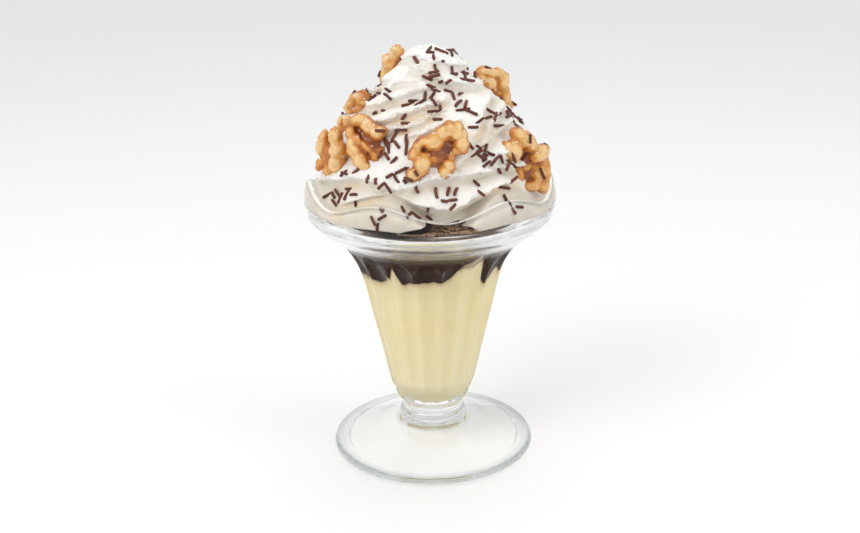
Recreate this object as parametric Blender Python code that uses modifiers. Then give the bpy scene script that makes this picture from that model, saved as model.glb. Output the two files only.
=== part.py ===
"""An ice cream sundae, built together with its footed pressed-glass cup.

Units are metres, +Z is up and the cup stands on z = 0 with its axis on the Z axis. The front of the
sundae looks along -Y. Angles round the axis, called bearings here, are counted in degrees from the
front (-Y) towards +X.

From the foot upwards the pieces are:
  glass            round foot, short knop, fluted cone, rounded shoulder and a lip of six petals
  ice_cream        vanilla ice cream that fills the cone
  chocolate_sauce  the layer on it, which runs down in drips along the wall
  whipped_cream    the swirled mound, cut round the walnuts pressed into it
  walnut_...       pieces of walnut kernel, each with its open side, ridge and lobes
"""

import math

import bmesh
import bpy
from mathutils import Matrix, Vector, noise

MM = 0.001

# Driving dimensions of the glass
RIM_RADIUS = 53.0 * MM
RIM_HEIGHT = 124.0 * MM
RIM_HALF_THICKNESS = 1.45 * MM
RIM_CROWN = 1.6 * MM
CUP_FLOOR = 23.0 * MM
CUP_FLOOR_RISE = 13.0 * MM

PETALS = 6
PETAL_HEIGHT = 3.05 * MM
PETAL_BASE = 116.0 * MM
FLUTES = 18
FLUTE_DEPTH = 0.030
FLUTE_FOOT = (24.0 * MM, 31.0 * MM)
FLUTE_HEAD = (93.0 * MM, 101.0 * MM)
FRONT_VALLEY = 7.0
TURN_STEPS = 36

# Outer wall of the cup: height, radius
OUTER_WALL = [(24.0, 16.3), (28.0, 17.9), (32.0, 19.4), (38.0, 20.9), (48.0, 23.1), (70.0, 28.2),
              (82.0, 30.9), (92.0, 34.6), (97.0, 37.6), (101.0, 41.0), (105.0, 45.9), (109.0, 51.0),
              (113.0, 54.4), (117.0, 55.9), (121.0, 55.5), (124.0, 54.45)]

# Inner wall of the cup: height, radius
INNER_WALL = [(36.0, 17.2), (48.0, 19.9), (70.0, 25.0), (82.0, 27.6), (92.0, 30.6), (97.0, 32.8),
              (101.0, 35.6), (105.0, 39.6), (109.0, 44.6), (113.0, 49.4), (117.0, 52.3),
              (121.0, 52.7), (124.0, 51.55)]

# Knop and foot, outer side from the cup's waist down to the table: radius, height
KNOP_AND_FOOT = [(14.2, 21.6), (13.1, 19.6), (15.3, 16.4), (15.4, 13.6), (16.6, 12.2),
                 (21.0, 10.6), (37.0, 5.1), (41.8, 3.5), (43.6, 3.75), (45.4, 3.2), (46.4, 1.4),
                 (45.9, 0.35), (45.0, 0.0)]

# Underside of the foot: radius, height
FOOT_UNDERSIDE = [(39.0, 0.0), (36.5, 1.1), (23.0, 5.3), (8.0, 8.0), (0.0, 8.3)]

# Contents
WALL_GAP = 0.80 * MM
LAYER_GAP = 0.15 * MM
SAUCE_BASE = 87.5 * MM
SAUCE_TOP = 118.0 * MM
WAVE_REACH = 26.0 * MM
PEAK_TOP_REACH = 28.0 * MM
LAYER_RING = 30.0 * MM
INNER_RING = 14.0 * MM
AXIS_REACH = 1.0 * MM
LEVEL_REACH = 0.01 * MM

# Core of sauce in the shoulder, where it stands free of the wall: height, radius
CORE_FOOT = 100.0 * MM
CORE = [(100.0, 35.2), (104.0, 37.4), (107.0, 38.4), (110.0, 38.9), (114.0, 39.2), (119.0, 39.0)]

# Peaks of ice cream between the drips: bearing, height in mm, spread to the left and to the right
ICE_PEAKS = [(-30.0, 7.0, 13.0, 13.0), (38.0, 9.0, 26.0, 15.0), (104.0, 6.5, 15.0, 13.0),
             (152.0, 8.0, 14.0, 20.0), (214.0, 7.5, 15.0, 13.0), (262.0, 6.0, 13.0, 15.0)]

# Free space in front, between the cream and the glass
POCKET_BEARING = 6.0
POCKET_SPREAD = 17.0
POCKET_FADE = 9.0
POCKET_DEPTH = 9.5 * MM
POCKET_TOP = (124.5 * MM, 129.5 * MM)

# Mound of cream above the sauce: height, radius
MOUND = [(118.0, 51.9), (121.0, 52.1), (124.0, 51.0), (127.5, 50.3), (131.0, 49.9), (135.5, 48.4),
         (140.0, 46.4), (145.0, 44.2), (150.0, 41.6), (155.0, 38.2), (160.0, 33.4), (164.5, 28.8),
         (169.0, 24.2), (173.5, 19.4), (178.0, 14.3), (182.0, 9.6), (185.0, 4.6), (186.4, 0.0)]
CREAM_STEPS = 44
CREAM_FREE = (127.0 * MM, 140.0 * MM)
SWIRL_PITCH = 23.0 * MM
SWIRL_START = 129.0 * MM
SWIRL_DEPTH = 2.1 * MM
SWIRL_LOBES = 9
LOBE_DEPTH = 0.9 * MM
LOBE_TWIST = 2.6

# Walnut pieces: name, centre (mm), length, width and thickness (mm), bearing and rise of the
# direction that the open side faces, and roll of the length from level, all in degrees
WALNUTS = [("walnut_front", (3.2, -42.6, 149.6), (27.5, 20.5, 13.5), 8.0, 12.0, 38.0),
           ("walnut_right", (42.0, -23.4, 140.6), (28.5, 20.5, 14.0), 30.0, 6.0, 105.0),
           ("walnut_upper_left", (-26.6, -32.0, 150.6), (25.5, 19.0, 13.0), -18.0, 28.0, -52.0),
           ("walnut_left", (-41.0, -22.8, 145.2), (19.5, 14.5, 10.5), -46.0, 8.0, 82.0),
           ("walnut_left_small", (-31.2, -6.6, 161.6), (11.5, 9.6, 8.0), -32.0, 12.0, 45.0),
           ("walnut_left_chip", (-38.2, -13.2, 155.0), (9.0, 6.5, 5.0), -70.0, 30.0, 70.0),
           ("walnut_crown_left", (-16.0, 3.0, 177.0), (16.5, 9.6, 9.0), -16.0, 10.0, 62.0),
           ("walnut_crown_right", (29.6, 4.6, 166.2), (20.5, 14.0, 10.0), 18.0, 10.0, -54.0),
           ("walnut_back", (19.5, 36.0, 150.0), (26.0, 19.5, 13.0), 158.0, 14.0, 30.0),
           ("walnut_back_left", (-29.0, 31.0, 149.0), (24.0, 18.5, 12.5), -142.0, 20.0, -35.0)]
WALNUT_SEGMENTS = 12
WALNUT_RINGS = 8
CUT_CLEARANCE = 0.45 * MM

VANILLA = (0.72, 0.60, 0.32, 1.0)
CHOCOLATE = (0.030, 0.014, 0.010, 1.0)
CREAM = (0.86, 0.84, 0.78, 1.0)
KERNEL = (0.62, 0.36, 0.13, 1.0)
CLEAR = (0.95, 0.97, 0.97, 1.0)


def clear_scene():
    """Remove every object, so that the script can be run again from the text editor."""
    for existing in list(bpy.data.objects):
        bpy.data.objects.remove(existing, do_unlink=True)


def collection(name):
    """Return a new collection linked to the scene."""
    made = bpy.data.collections.new(name)
    bpy.context.scene.collection.children.link(made)
    return made


def finish(name, colour, roughness, transmission=0.0):
    """Return a Principled material with the colour and roughness of one piece."""
    material = bpy.data.materials.new(name)
    material.use_nodes = True
    shader = material.node_tree.nodes["Principled BSDF"]
    shader.inputs["Base Color"].default_value = colour
    shader.inputs["Roughness"].default_value = roughness
    shader.inputs["Metallic"].default_value = 0.0
    shader.inputs["Transmission Weight"].default_value = transmission
    return material


def ease(low, high, value):
    """Rise smoothly from 0 at low to 1 at high."""
    share = min(1.0, max(0.0, (value - low) / (high - low)))
    return share * share * (3.0 - 2.0 * share)


def along(stations, height):
    """Radius in metres at a height, on a smooth curve through (height, radius) stations in mm."""
    z = height / MM
    last = len(stations) - 1
    index = 0
    while index < last - 1 and stations[index + 1][0] < z:
        index += 1
    before = stations[max(index - 1, 0)]
    start = stations[index]
    end = stations[index + 1]
    after = stations[min(index + 2, last)]
    span = end[0] - start[0]
    share = min(1.0, max(0.0, (z - start[0]) / span))
    slope_in = (end[1] - before[1]) / (end[0] - before[0]) * span
    slope_out = (after[1] - start[1]) / (after[0] - start[0]) * span
    square = share * share
    cube = square * share
    radius = ((2 * cube - 3 * square + 1) * start[1] + (cube - 2 * square + share) * slope_in
              + (3 * square - 2 * cube) * end[1] + (cube - square) * slope_out)
    return radius * MM


def inner_radius(height):
    """Radius of the cup's inside at a height: a half-ellipse floor, and the wall above it."""
    floor_end = CUP_FLOOR + CUP_FLOOR_RISE
    if height >= floor_end:
        return along(INNER_WALL, height)
    drop = min(1.0, (floor_end - height) / CUP_FLOOR_RISE)
    return along(INNER_WALL, floor_end) * math.sqrt(1.0 - drop * drop)


def content_radius(height):
    """Radius of the ice cream and sauce: near the wall below, and a free core in the shoulder."""
    against = inner_radius(height) - WALL_GAP
    if height < CORE_FOOT:
        return against
    return min(against, along(CORE, height))


def bearing(point):
    """Angle of a point round the axis, in degrees from the front towards +X."""
    return math.degrees(math.atan2(point.x, -point.y))


def apart(angle_a, angle_b):
    """Signed difference of two bearings, between -180 and 180 degrees."""
    return (angle_a - angle_b + 180.0) % 360.0 - 180.0


def turned(name, profile, steps, material, target):
    """Turn a profile of (radius, height) points round Z and return it as a plain mesh object."""
    mesh = bpy.data.meshes.new(name + "_profile")
    edges = [(i, i + 1) for i in range(len(profile) - 1)]
    mesh.from_pydata([(radius, 0.0, height) for radius, height in profile], edges, [])
    outline = bpy.data.objects.new(name + "_outline", mesh)
    target.objects.link(outline)
    screw = outline.modifiers.new("turn", "SCREW")
    screw.axis = "Z"
    screw.angle = math.tau
    screw.steps = steps
    screw.render_steps = steps
    screw.use_merge_vertices = True
    screw.merge_threshold = 0.00001
    depsgraph = bpy.context.evaluated_depsgraph_get()
    solid_mesh = bpy.data.meshes.new_from_object(outline.evaluated_get(depsgraph))
    bpy.data.objects.remove(outline, do_unlink=True)
    solid_mesh.name = name
    solid_mesh.materials.clear()
    solid_mesh.materials.append(material)
    solid = bpy.data.objects.new(name, solid_mesh)
    target.objects.link(solid)
    return solid


def reshape(solid, move):
    """Move every vertex of a solid to the place that the function gives."""
    for vertex in solid.data.vertices:
        vertex.co = move(vertex.co.copy())
    solid.data.update()


def glass_profile():
    """Profile of the glass: up the inside, over the rim, down the outside and under the foot."""
    points = []
    for step in range(5):
        turn = math.radians(90.0 * step / 5)
        height = CUP_FLOOR + CUP_FLOOR_RISE * (1.0 - math.cos(turn))
        points.append((inner_radius(height) if step else 0.0, height))
    for height in (36.0, 60.0, 82.0, 92.0, 98.0, 102.0, 106.0, 110.0, 114.0, 117.5, 121.0):
        points.append((along(INNER_WALL, height * MM), height * MM))
    for step in range(5):
        turn = math.radians(180.0 - 45.0 * step)
        radius = RIM_RADIUS + RIM_HALF_THICKNESS * math.cos(turn)
        points.append((radius, RIM_HEIGHT + RIM_CROWN * math.sin(turn)))
    for height in (121.0, 117.5, 114.0, 111.0, 107.5, 104.0, 101.0, 97.0, 92.0, 80.0, 60.0, 42.0, 31.0,
                   27.0, 24.0):
        points.append((along(OUTER_WALL, height * MM), height * MM))
    for radius, height in KNOP_AND_FOOT + FOOT_UNDERSIDE:
        points.append((radius * MM, height * MM))
    return points


def petal_lift(height, degrees):
    """How far the lip's petals lift a point of the glass at a height and bearing."""
    share = ease(PETAL_BASE, RIM_HEIGHT, height)
    wave = -math.cos(math.radians(PETALS * apart(degrees, FRONT_VALLEY)))
    return PETAL_HEIGHT * share * wave


def flute_cut(height, degrees):
    """Share of the radius that the flutes take off the outside at a height and bearing."""
    across = (apart(degrees, FRONT_VALLEY) * FLUTES / 360.0) % 1.0
    hollow = math.sin(math.pi * across) ** 0.6
    lowered = FLUTE_HEAD[1] - FLUTE_HEAD[0]
    head = FLUTE_HEAD[0] + lowered * hollow
    rise = ease(FLUTE_FOOT[0], FLUTE_FOOT[1], height)
    fall = 1.0 - ease(head - 5.0 * MM, head, height)
    return FLUTE_DEPTH * hollow * rise * fall


def shape_glass(point):
    """Press the flutes into the outer wall, and lift the lip into petals."""
    radius = math.hypot(point.x, point.y)
    degrees = bearing(point)
    middle = 0.5 * (inner_radius(point.z) + along(OUTER_WALL, point.z))
    if point.z > FLUTE_FOOT[0] and radius > middle:
        factor = 1.0 - flute_cut(point.z, degrees)
        point.x *= factor
        point.y *= factor
    point.z += petal_lift(point.z, degrees)
    return point


def build_glass(target):
    """The pressed-glass cup: foot, knop, fluted cone, shoulder and petalled lip."""
    glass = turned("glass", glass_profile(), TURN_STEPS, finish("glass", CLEAR, 0.02, 1.0), target)
    glass.data.transform(Matrix.Rotation(math.radians(FRONT_VALLEY), 4, "Z"))
    reshape(glass, shape_glass)
    glass.data.shade_smooth()
    glass.data.set_sharp_from_angle(angle=math.radians(40.0))
    return glass


def peak_height(degrees):
    """Height of the ice cream's peaks between the sauce's drips, at a bearing."""
    rise = 0.0
    for centre, height, left, right in ICE_PEAKS:
        off = apart(degrees, centre)
        spread = right if off > 0.0 else left
        rise = max(rise, height * MM * (1.0 - ease(0.0, spread, abs(off))))
    return rise + 0.7 * MM * math.sin(math.radians(7.0 * degrees))


def layer_wave(point):
    """Bend a level layer into drips at the wall, keeping its side where the contents end."""
    radius = math.hypot(point.x, point.y)
    if radius < AXIS_REACH:
        return point
    share = 1.0 - ease(0.0, PEAK_TOP_REACH, point.z - SAUCE_BASE)
    if point.z < SAUCE_BASE:
        share = 1.0 - ease(0.0, WAVE_REACH, SAUCE_BASE - point.z)
    outward = ease(0.3, 1.0, radius / inner_radius(point.z))
    height = point.z + share * outward * peak_height(bearing(point))
    factor = content_radius(height) / content_radius(point.z)
    return Vector((point.x * factor, point.y * factor, height))


def shape_sauce(point):
    """Bend the sauce into drips, and lift its top edge with the petals of the lip."""
    bent = layer_wave(point)
    if math.hypot(bent.x, bent.y) > AXIS_REACH:
        bent.z += petal_lift(bent.z, bearing(bent))
    return bent


def poke_level(solid, height):
    """Give each four-sided face at a height a middle vertex, so that two layers bend alike there."""
    shape = bmesh.new()
    shape.from_mesh(solid.data)
    level = []
    for face in shape.faces:
        if len(face.verts) == 4 and max(abs(vertex.co.z - height) for vertex in face.verts) < LEVEL_REACH:
            level.append(face)
    bmesh.ops.poke(shape, faces=level)
    shape.to_mesh(solid.data)
    shape.free()


def side_points(heights):
    """Points on the side of the contents at the given heights in mm, from the top down."""
    return [(content_radius(height * MM), height * MM) for height in heights]


def build_ice_cream(target):
    """Vanilla ice cream: everything in the cone below the sauce."""
    top = (SAUCE_BASE - LAYER_GAP) / MM
    profile = [(0.0, top * MM), (INNER_RING, top * MM)]
    profile += side_points((top, 80.0, 68.0, 52.0, 38.0, 31.0, 26.5))
    profile.append((0.0, CUP_FLOOR + WALL_GAP))
    ice_cream = turned("ice_cream", profile, TURN_STEPS, finish("vanilla", VANILLA, 0.45), target)
    ice_cream.data.transform(Matrix.Rotation(math.radians(FRONT_VALLEY), 4, "Z"))
    poke_level(ice_cream, top * MM)
    reshape(ice_cream, layer_wave)
    ice_cream.data.shade_smooth()
    return ice_cream


def build_sauce(target):
    """Chocolate sauce: the layer between the ice cream and the whipped cream."""
    base = (SAUCE_BASE + LAYER_GAP) / MM
    top = (SAUCE_TOP - LAYER_GAP) / MM
    profile = [(0.0, top * MM), (LAYER_RING, top * MM)]
    profile += side_points((top, 114.0, 110.0, 106.0, 102.0, 98.0, 93.0, base))
    profile += [(INNER_RING, base * MM), (0.0, base * MM)]
    sauce = turned("chocolate_sauce", profile, TURN_STEPS, finish("chocolate", CHOCOLATE, 0.2), target)
    sauce.data.transform(Matrix.Rotation(math.radians(FRONT_VALLEY), 4, "Z"))
    poke_level(sauce, base * MM)
    reshape(sauce, shape_sauce)
    sauce.data.shade_smooth()
    return sauce


def pocket(height, degrees):
    """How far the cream stands back from the glass, in the free space in front."""
    off = abs(apart(degrees, POCKET_BEARING))
    across = 1.0 - ease(POCKET_SPREAD - POCKET_FADE * 0.5, POCKET_SPREAD + POCKET_FADE * 0.5, off)
    return POCKET_DEPTH * across * (1.0 - ease(POCKET_TOP[0], POCKET_TOP[1], height))


def shape_cream(point):
    """Wind the mound into a rising swirl with lobes, and hollow out the space in front."""
    radius = math.hypot(point.x, point.y)
    if radius < AXIS_REACH:
        return point
    degrees = bearing(point)
    turns = degrees / 360.0
    climb = (point.z - SWIRL_START) / SWIRL_PITCH
    ridge = abs(math.sin(math.pi * (climb - turns))) ** 0.7 - 0.6
    lobes = math.cos(math.tau * (SWIRL_LOBES * turns - LOBE_TWIST * climb))
    free = ease(CREAM_FREE[0], CREAM_FREE[0] + 7.0 * MM, point.z) * ease(0.0, 12.0 * MM, radius)
    swelling = free * (SWIRL_DEPTH * ridge + LOBE_DEPTH * lobes)
    factor = (radius + swelling - pocket(point.z, degrees) * ease(30.0 * MM, 40.0 * MM, radius)) / radius
    lift = petal_lift(point.z, degrees) * (1.0 - ease(CREAM_FREE[0], CREAM_FREE[1], point.z))
    return Vector((point.x * factor, point.y * factor, point.z + lift))


def kernel_shape(point, seed, hollowed):
    """Shape a unit sphere point into half a kernel: +Z is the open side, X the length."""
    around = math.atan2(point.y, point.x)
    flat = math.hypot(point.x, point.y)
    outline = 1.0 + 0.085 * math.cos(7.0 * around + seed) * flat + 0.04 * math.cos(3.0 * around - seed)
    lobed = 1.0 + 0.13 * noise.noise(point * 2.3 + Vector((seed, 0.0, 0.0)))
    shaped = Vector((point.x * outline * lobed, point.y * outline * lobed, point.z * lobed))
    if point.z > 0.0 and hollowed:
        hollow = math.exp(-(point.y / 0.34) ** 2) * (1.0 - 0.75 * point.x * point.x)
        shaped.z = 0.62 * point.z * (1.0 - hollow)
    elif point.z < 0.0:
        groove = math.exp(-(point.y / 0.2) ** 2)
        shaped.z = lobed * point.z * (1.0 - 0.16 * groove)
    return shaped


def kernel_matrix(centre, face_bearing, face_rise, roll):
    """Place a kernel: its open side faces a bearing and rise, and its length is rolled from level."""
    turn = math.radians(face_bearing)
    rise = math.radians(face_rise)
    facing = Vector((math.sin(turn) * math.cos(rise), -math.cos(turn) * math.cos(rise), math.sin(rise)))
    level = Vector((math.cos(turn), math.sin(turn), 0.0))
    upright = facing.cross(level)
    spin = math.radians(roll)
    length_way = level * math.cos(spin) + upright * math.sin(spin)
    width_way = facing.cross(length_way)
    frame = Matrix((length_way, width_way, facing)).transposed().to_4x4()
    return Matrix.Translation(Vector(centre) * MM) @ frame


def kernel_mesh(name, size, seed, clearance):
    """Mesh of one kernel piece about its own centre; with a clearance it is the cutter, a full dome."""
    shape = bmesh.new()
    bmesh.ops.create_uvsphere(shape, u_segments=WALNUT_SEGMENTS, v_segments=WALNUT_RINGS, radius=1.0)
    half = Vector(size) * (0.5 * MM) + Vector((clearance, clearance, clearance))
    for vertex in shape.verts:
        shaped = kernel_shape(vertex.co, seed, clearance == 0.0)
        vertex.co = Vector((shaped.x * half.x, shaped.y * half.y, shaped.z * half.z))
    bmesh.ops.triangulate(shape, faces=shape.faces, quad_method="FIXED")
    bmesh.ops.recalc_face_normals(shape, faces=shape.faces)
    mesh = bpy.data.meshes.new(name)
    shape.to_mesh(mesh)
    shape.free()
    return mesh


def build_walnuts(target, cutters):
    """Build the walnut pieces, and return for each a slightly larger cutter for the cream."""
    kernel = finish("walnut", KERNEL, 0.35)
    blades = []
    for index, (name, centre, size, face_bearing, face_rise, roll) in enumerate(WALNUTS):
        place = kernel_matrix(centre, face_bearing, face_rise, roll)
        seed = 1.7 * index
        mesh = kernel_mesh(name, size, seed, 0.0)
        mesh.materials.append(kernel)
        mesh.shade_smooth()
        piece = bpy.data.objects.new(name, mesh)
        piece.matrix_world = place
        target.objects.link(piece)
        cutter_mesh = kernel_mesh(name + "_cutter", size, seed, CUT_CLEARANCE)
        blade = bpy.data.objects.new(name + "_cutter", cutter_mesh)
        blade.matrix_world = place
        blade.display_type = "WIRE"
        blade.hide_render = True
        cutters.objects.link(blade)
        blades.append(blade)
    return blades


def build_cream(target, blades):
    """Whipped cream: a swirled mound on the sauce, with room cut for each walnut."""
    profile = []
    for height, radius in reversed(MOUND):
        profile.append((radius * MM, height * MM + LAYER_GAP))
    profile.append((LAYER_RING, SAUCE_TOP + LAYER_GAP))
    profile.append((0.0, SAUCE_TOP + LAYER_GAP))
    cream = turned("whipped_cream", profile, CREAM_STEPS, finish("whipped_cream", CREAM, 0.6), target)
    reshape(cream, shape_cream)
    cream.data.shade_smooth()
    for blade in blades:
        cut = cream.modifiers.new(blade.name, "BOOLEAN")
        cut.operation = "DIFFERENCE"
        cut.solver = "EXACT"
        cut.object = blade
    return cream


def main():
    """Build every piece of the sundae."""
    clear_scene()
    sundae = collection("ice_cream_sundae")
    cutters = collection("cutters")
    build_glass(sundae)
    build_ice_cream(sundae)
    build_sauce(sundae)
    blades = build_walnuts(sundae, cutters)
    build_cream(sundae, blades)


main()
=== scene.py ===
"""Ice cream sundae in a footed pressed-glass cup: the visual model round the CAD frame.

Meshes and materials are in metres. The sizes of the pieces are fields in millimetres, and MM turns them
into metres. Bearings are angles round the upright axis, in degrees from the front (-Y) towards +X.
"""
import logging
import math
import random
from dataclasses import dataclass, field
from enum import Enum
from typing import Optional, Sequence, Union

import bmesh
import bpy
import numpy as np
from mathutils import Matrix, Vector, noise
from mathutils.bvhtree import BVHTree


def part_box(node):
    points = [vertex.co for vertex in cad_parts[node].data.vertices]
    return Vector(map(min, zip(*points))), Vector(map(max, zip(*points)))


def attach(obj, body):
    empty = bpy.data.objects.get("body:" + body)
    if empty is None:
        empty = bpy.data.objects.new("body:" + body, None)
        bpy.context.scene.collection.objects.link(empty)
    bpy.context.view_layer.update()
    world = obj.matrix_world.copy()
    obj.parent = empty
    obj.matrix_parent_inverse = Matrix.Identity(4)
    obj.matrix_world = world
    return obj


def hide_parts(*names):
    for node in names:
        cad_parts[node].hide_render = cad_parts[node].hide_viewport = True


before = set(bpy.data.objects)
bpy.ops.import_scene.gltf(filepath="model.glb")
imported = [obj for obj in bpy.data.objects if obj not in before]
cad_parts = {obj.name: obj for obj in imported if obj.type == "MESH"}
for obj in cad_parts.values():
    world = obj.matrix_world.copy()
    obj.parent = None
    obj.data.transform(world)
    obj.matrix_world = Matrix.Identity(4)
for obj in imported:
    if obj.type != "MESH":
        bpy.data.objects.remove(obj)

MM = 0.001
DEGREES_IN_RADIAN = 57.3
LOG = logging.getLogger("sundae")

Pair = tuple[float, float]
Triple = tuple[float, float, float]
Colour = tuple[float, float, float]

ON_AXIS: Triple = (0.0, 0.0, 0.0)
BLACK: Colour = (0.0, 0.0, 0.0)
WHITE: Colour = (1.0, 1.0, 1.0)


# ---------- Numbers and curves ----------


def ease(low: float, high: float, value: np.ndarray) -> np.ndarray:
    """Rise smoothly from 0 at low to 1 at high.

    Args:
        low: Value at which the rise starts.
        high: Value at which the rise ends; it may be less than low.
        value: Numbers to place on the rise.

    Returns:
        The share of the rise at each value.
    """
    share = np.clip((value - low) / (high - low), 0.0, 1.0)
    return share * share * (3.0 - 2.0 * share)


def apart(bearing: np.ndarray, other: float) -> np.ndarray:
    """Signed difference of two bearings, between -180 and 180 degrees."""
    return (bearing - other + 180.0) % 360.0 - 180.0


def hermite(stations: Sequence[Pair], at: np.ndarray) -> np.ndarray:
    """Read a smooth curve through stations.

    Args:
        stations: (place, value) pairs in rising order of place.
        at: Places at which the curve is read.

    Returns:
        The curve's value at each place, held level beyond both ends.
    """
    places = np.array([station[0] for station in stations])
    values = np.array([station[1] for station in stations])
    slopes = np.gradient(values, places)
    index = np.clip(np.searchsorted(places, at, side="right") - 1, 0, len(places) - 2)
    span = places[index + 1] - places[index]
    share = np.clip((at - places[index]) / span, 0.0, 1.0)
    square = share * share
    cube = square * share
    return ((2 * cube - 3 * square + 1) * values[index] + (cube - 2 * square + share) * span * slopes[index]
            + (3 * square - 2 * cube) * values[index + 1] + (cube - square) * span * slopes[index + 1])


def flowing(points: Sequence[Pair], per_span: int) -> list[Pair]:
    """Run a Catmull-Rom curve through points.

    Args:
        points: Points of a flat outline.
        per_span: Number of pieces that each span is divided into.

    Returns:
        The points of the curve, both ends included.
    """
    ends = [points[0], *points, points[-1]]
    curve: list[Pair] = []
    for p0, p1, p2, p3 in zip(ends, ends[1:], ends[2:], ends[3:]):
        for step in range(per_span):
            t = step / per_span
            curve.append(tuple(0.5 * (2 * b + (c - a) * t + (2 * a - 5 * b + 4 * c - d) * t * t
                                      + (3 * b - a - 3 * c + d) * t ** 3)
                               for a, b, c, d in zip(p0, p1, p2, p3)))
    curve.append(points[-1])
    return curve


def ripple(points: np.ndarray, grain: float, seed: float) -> np.ndarray:
    """Smooth noise between about -1 and 1 at each point.

    Args:
        points: Array of points in metres, one row each.
        grain: Size of the noise's features in metres.
        seed: Offset that picks another part of the noise.

    Returns:
        One number for each point.
    """
    shift = Vector((seed, -seed * 0.7, seed * 1.3))
    read = noise.noise
    return np.array([read(Vector(point) + shift) for point in (points / grain).tolist()])


# ---------- Materials ----------


class Wire:
    """An output socket of a material, with the operators that its maths needs."""

    def __init__(self, graph: "Graph", socket: bpy.types.NodeSocket) -> None:
        """Hold a socket and the graph that it belongs to."""
        self.graph = graph
        self.socket = socket

    def _maths(self, operation: str, *values: "Value") -> "Wire":
        """Add one Math node for the values and return its result."""
        made = self.graph.node("ShaderNodeMath", {"operation": operation}, dict(enumerate(values)))
        return Wire(self.graph, made.outputs[0])

    def __add__(self, other: "Value") -> "Wire":
        """Add a number or a wire."""
        return self._maths("ADD", self, other)

    __radd__ = __add__

    def __sub__(self, other: "Value") -> "Wire":
        """Take a number or a wire away."""
        return self._maths("SUBTRACT", self, other)

    def __rsub__(self, other: "Value") -> "Wire":
        """Take this wire away from a number."""
        return self._maths("SUBTRACT", other, self)

    def __mul__(self, other: "Value") -> "Wire":
        """Multiply by a number or a wire."""
        return self._maths("MULTIPLY", self, other)

    __rmul__ = __mul__

    def clamped(self) -> "Wire":
        """Keep the value between 0 and 1."""
        return self._maths("MINIMUM", self._maths("MAXIMUM", self, 0.0), 1.0)

    def ramped(self, low: float, high: float) -> "Wire":
        """Rise smoothly from 0 at low to 1 at high."""
        made = self.graph.node("ShaderNodeMapRange", {"interpolation_type": "SMOOTHSTEP"},
                               {0: self, 1: low, 2: high, 3: 0.0, 4: 1.0})
        return Wire(self.graph, made.outputs[0])


Value = Union[float, Colour, Wire]


class Graph:
    """The node tree of one material."""

    def __init__(self, name: str) -> None:
        """Start an empty material with that name."""
        self.material = bpy.data.materials.new(name)
        self.material.use_nodes = True
        self.tree = self.material.node_tree
        self.tree.nodes.clear()
        coordinates = self.node("ShaderNodeTexCoord", {}, {})
        self.place = Wire(self, coordinates.outputs["Object"])

    def node(self, kind: str, settings: dict[str, object], values: dict[object, "Value"]) -> bpy.types.Node:
        """Add a node of any kind.

        Args:
            kind: The node's type.
            settings: Properties that are set first; "stops" holds a ramp's (place, colour) pairs.
            values: Numbers, colours or wires by socket name or number.

        Returns:
            The new node.
        """
        made = self.tree.nodes.new(kind)
        for key, setting in settings.items():
            if key == "stops":
                self._set_stops(made.color_ramp, setting)
            else:
                setattr(made, key, setting)
        for key, value in values.items():
            socket = made.inputs[key]
            if isinstance(value, Wire):
                self.tree.links.new(value.socket, socket)
            elif isinstance(value, tuple) and len(socket.default_value) == 4:
                socket.default_value = (*value, 1.0)
            else:
                socket.default_value = value
        return made

    @staticmethod
    def _set_stops(ramp: bpy.types.ColorRamp, stops: Sequence[tuple[float, Colour]]) -> None:
        """Give a colour ramp its stops."""
        while len(ramp.elements) < len(stops):
            ramp.elements.new(1.0)
        for element, (position, colour) in zip(ramp.elements, stops):
            element.position = position
            element.color = (*colour, 1.0)

    def noise(self, grain: float, detail: float = 3.0, roughness: float = 0.5, warp: float = 0.0,
              stretch: Triple = (1.0, 1.0, 1.0)) -> Wire:
        """Noise between 0 and 1 on the object's coordinates.

        Args:
            grain: Size of its features in metres.
            detail: Number of finer layers.
            roughness: Strength of the finer layers.
            warp: How much the noise is distorted.
            stretch: Factors on the coordinates along X, Y and Z.

        Returns:
            The noise.
        """
        placed = self.node("ShaderNodeMapping", {}, {"Vector": self.place, "Scale": stretch})
        made = self.node("ShaderNodeTexNoise", {}, {
            "Vector": Wire(self, placed.outputs[0]), "Scale": 1.0 / grain, "Detail": detail,
            "Roughness": roughness, "Distortion": warp})
        return Wire(self, made.outputs[0])

    def height(self) -> Wire:
        """Height above the table in metres."""
        made = self.node("ShaderNodeSeparateXYZ", {}, {0: self.place})
        return Wire(self, made.outputs["Z"])

    def attribute(self, name: str) -> Wire:
        """A number stored on the mesh's points."""
        made = self.node("ShaderNodeAttribute", {"attribute_name": name}, {})
        return Wire(self, made.outputs["Fac"])

    def ramp(self, factor: Wire, stops: Sequence[tuple[float, Colour]]) -> Wire:
        """Turn a number into a colour."""
        made = self.node("ShaderNodeValToRGB", {"stops": stops}, {"Fac": factor})
        return Wire(self, made.outputs["Color"])

    def blend(self, factor: Value, first: Value, second: Value) -> Wire:
        """Mix two colours: the first where the factor is 0, the second where it is 1."""
        made = self.node("ShaderNodeMix", {"data_type": "RGBA"}, {0: factor, 6: first, 7: second})
        return Wire(self, made.outputs[2])

    def bump(self, height: Wire, depth: float) -> Wire:
        """Relief whose full height is depth metres."""
        made = self.node("ShaderNodeBump", {}, {"Height": height, "Distance": depth, "Strength": 1.0})
        return Wire(self, made.outputs["Normal"])

    def surface(self, values: dict[str, "Value"]) -> bpy.types.Material:
        """Close the material with a Principled shader.

        Args:
            values: The shader's numbers, colours and wires by socket name.

        Returns:
            The finished material.
        """
        shader = self.node("ShaderNodeBsdfPrincipled", {}, values)
        output = self.node("ShaderNodeOutputMaterial", {}, {})
        self.tree.links.new(shader.outputs[0], output.inputs[0])
        return self.material


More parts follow.
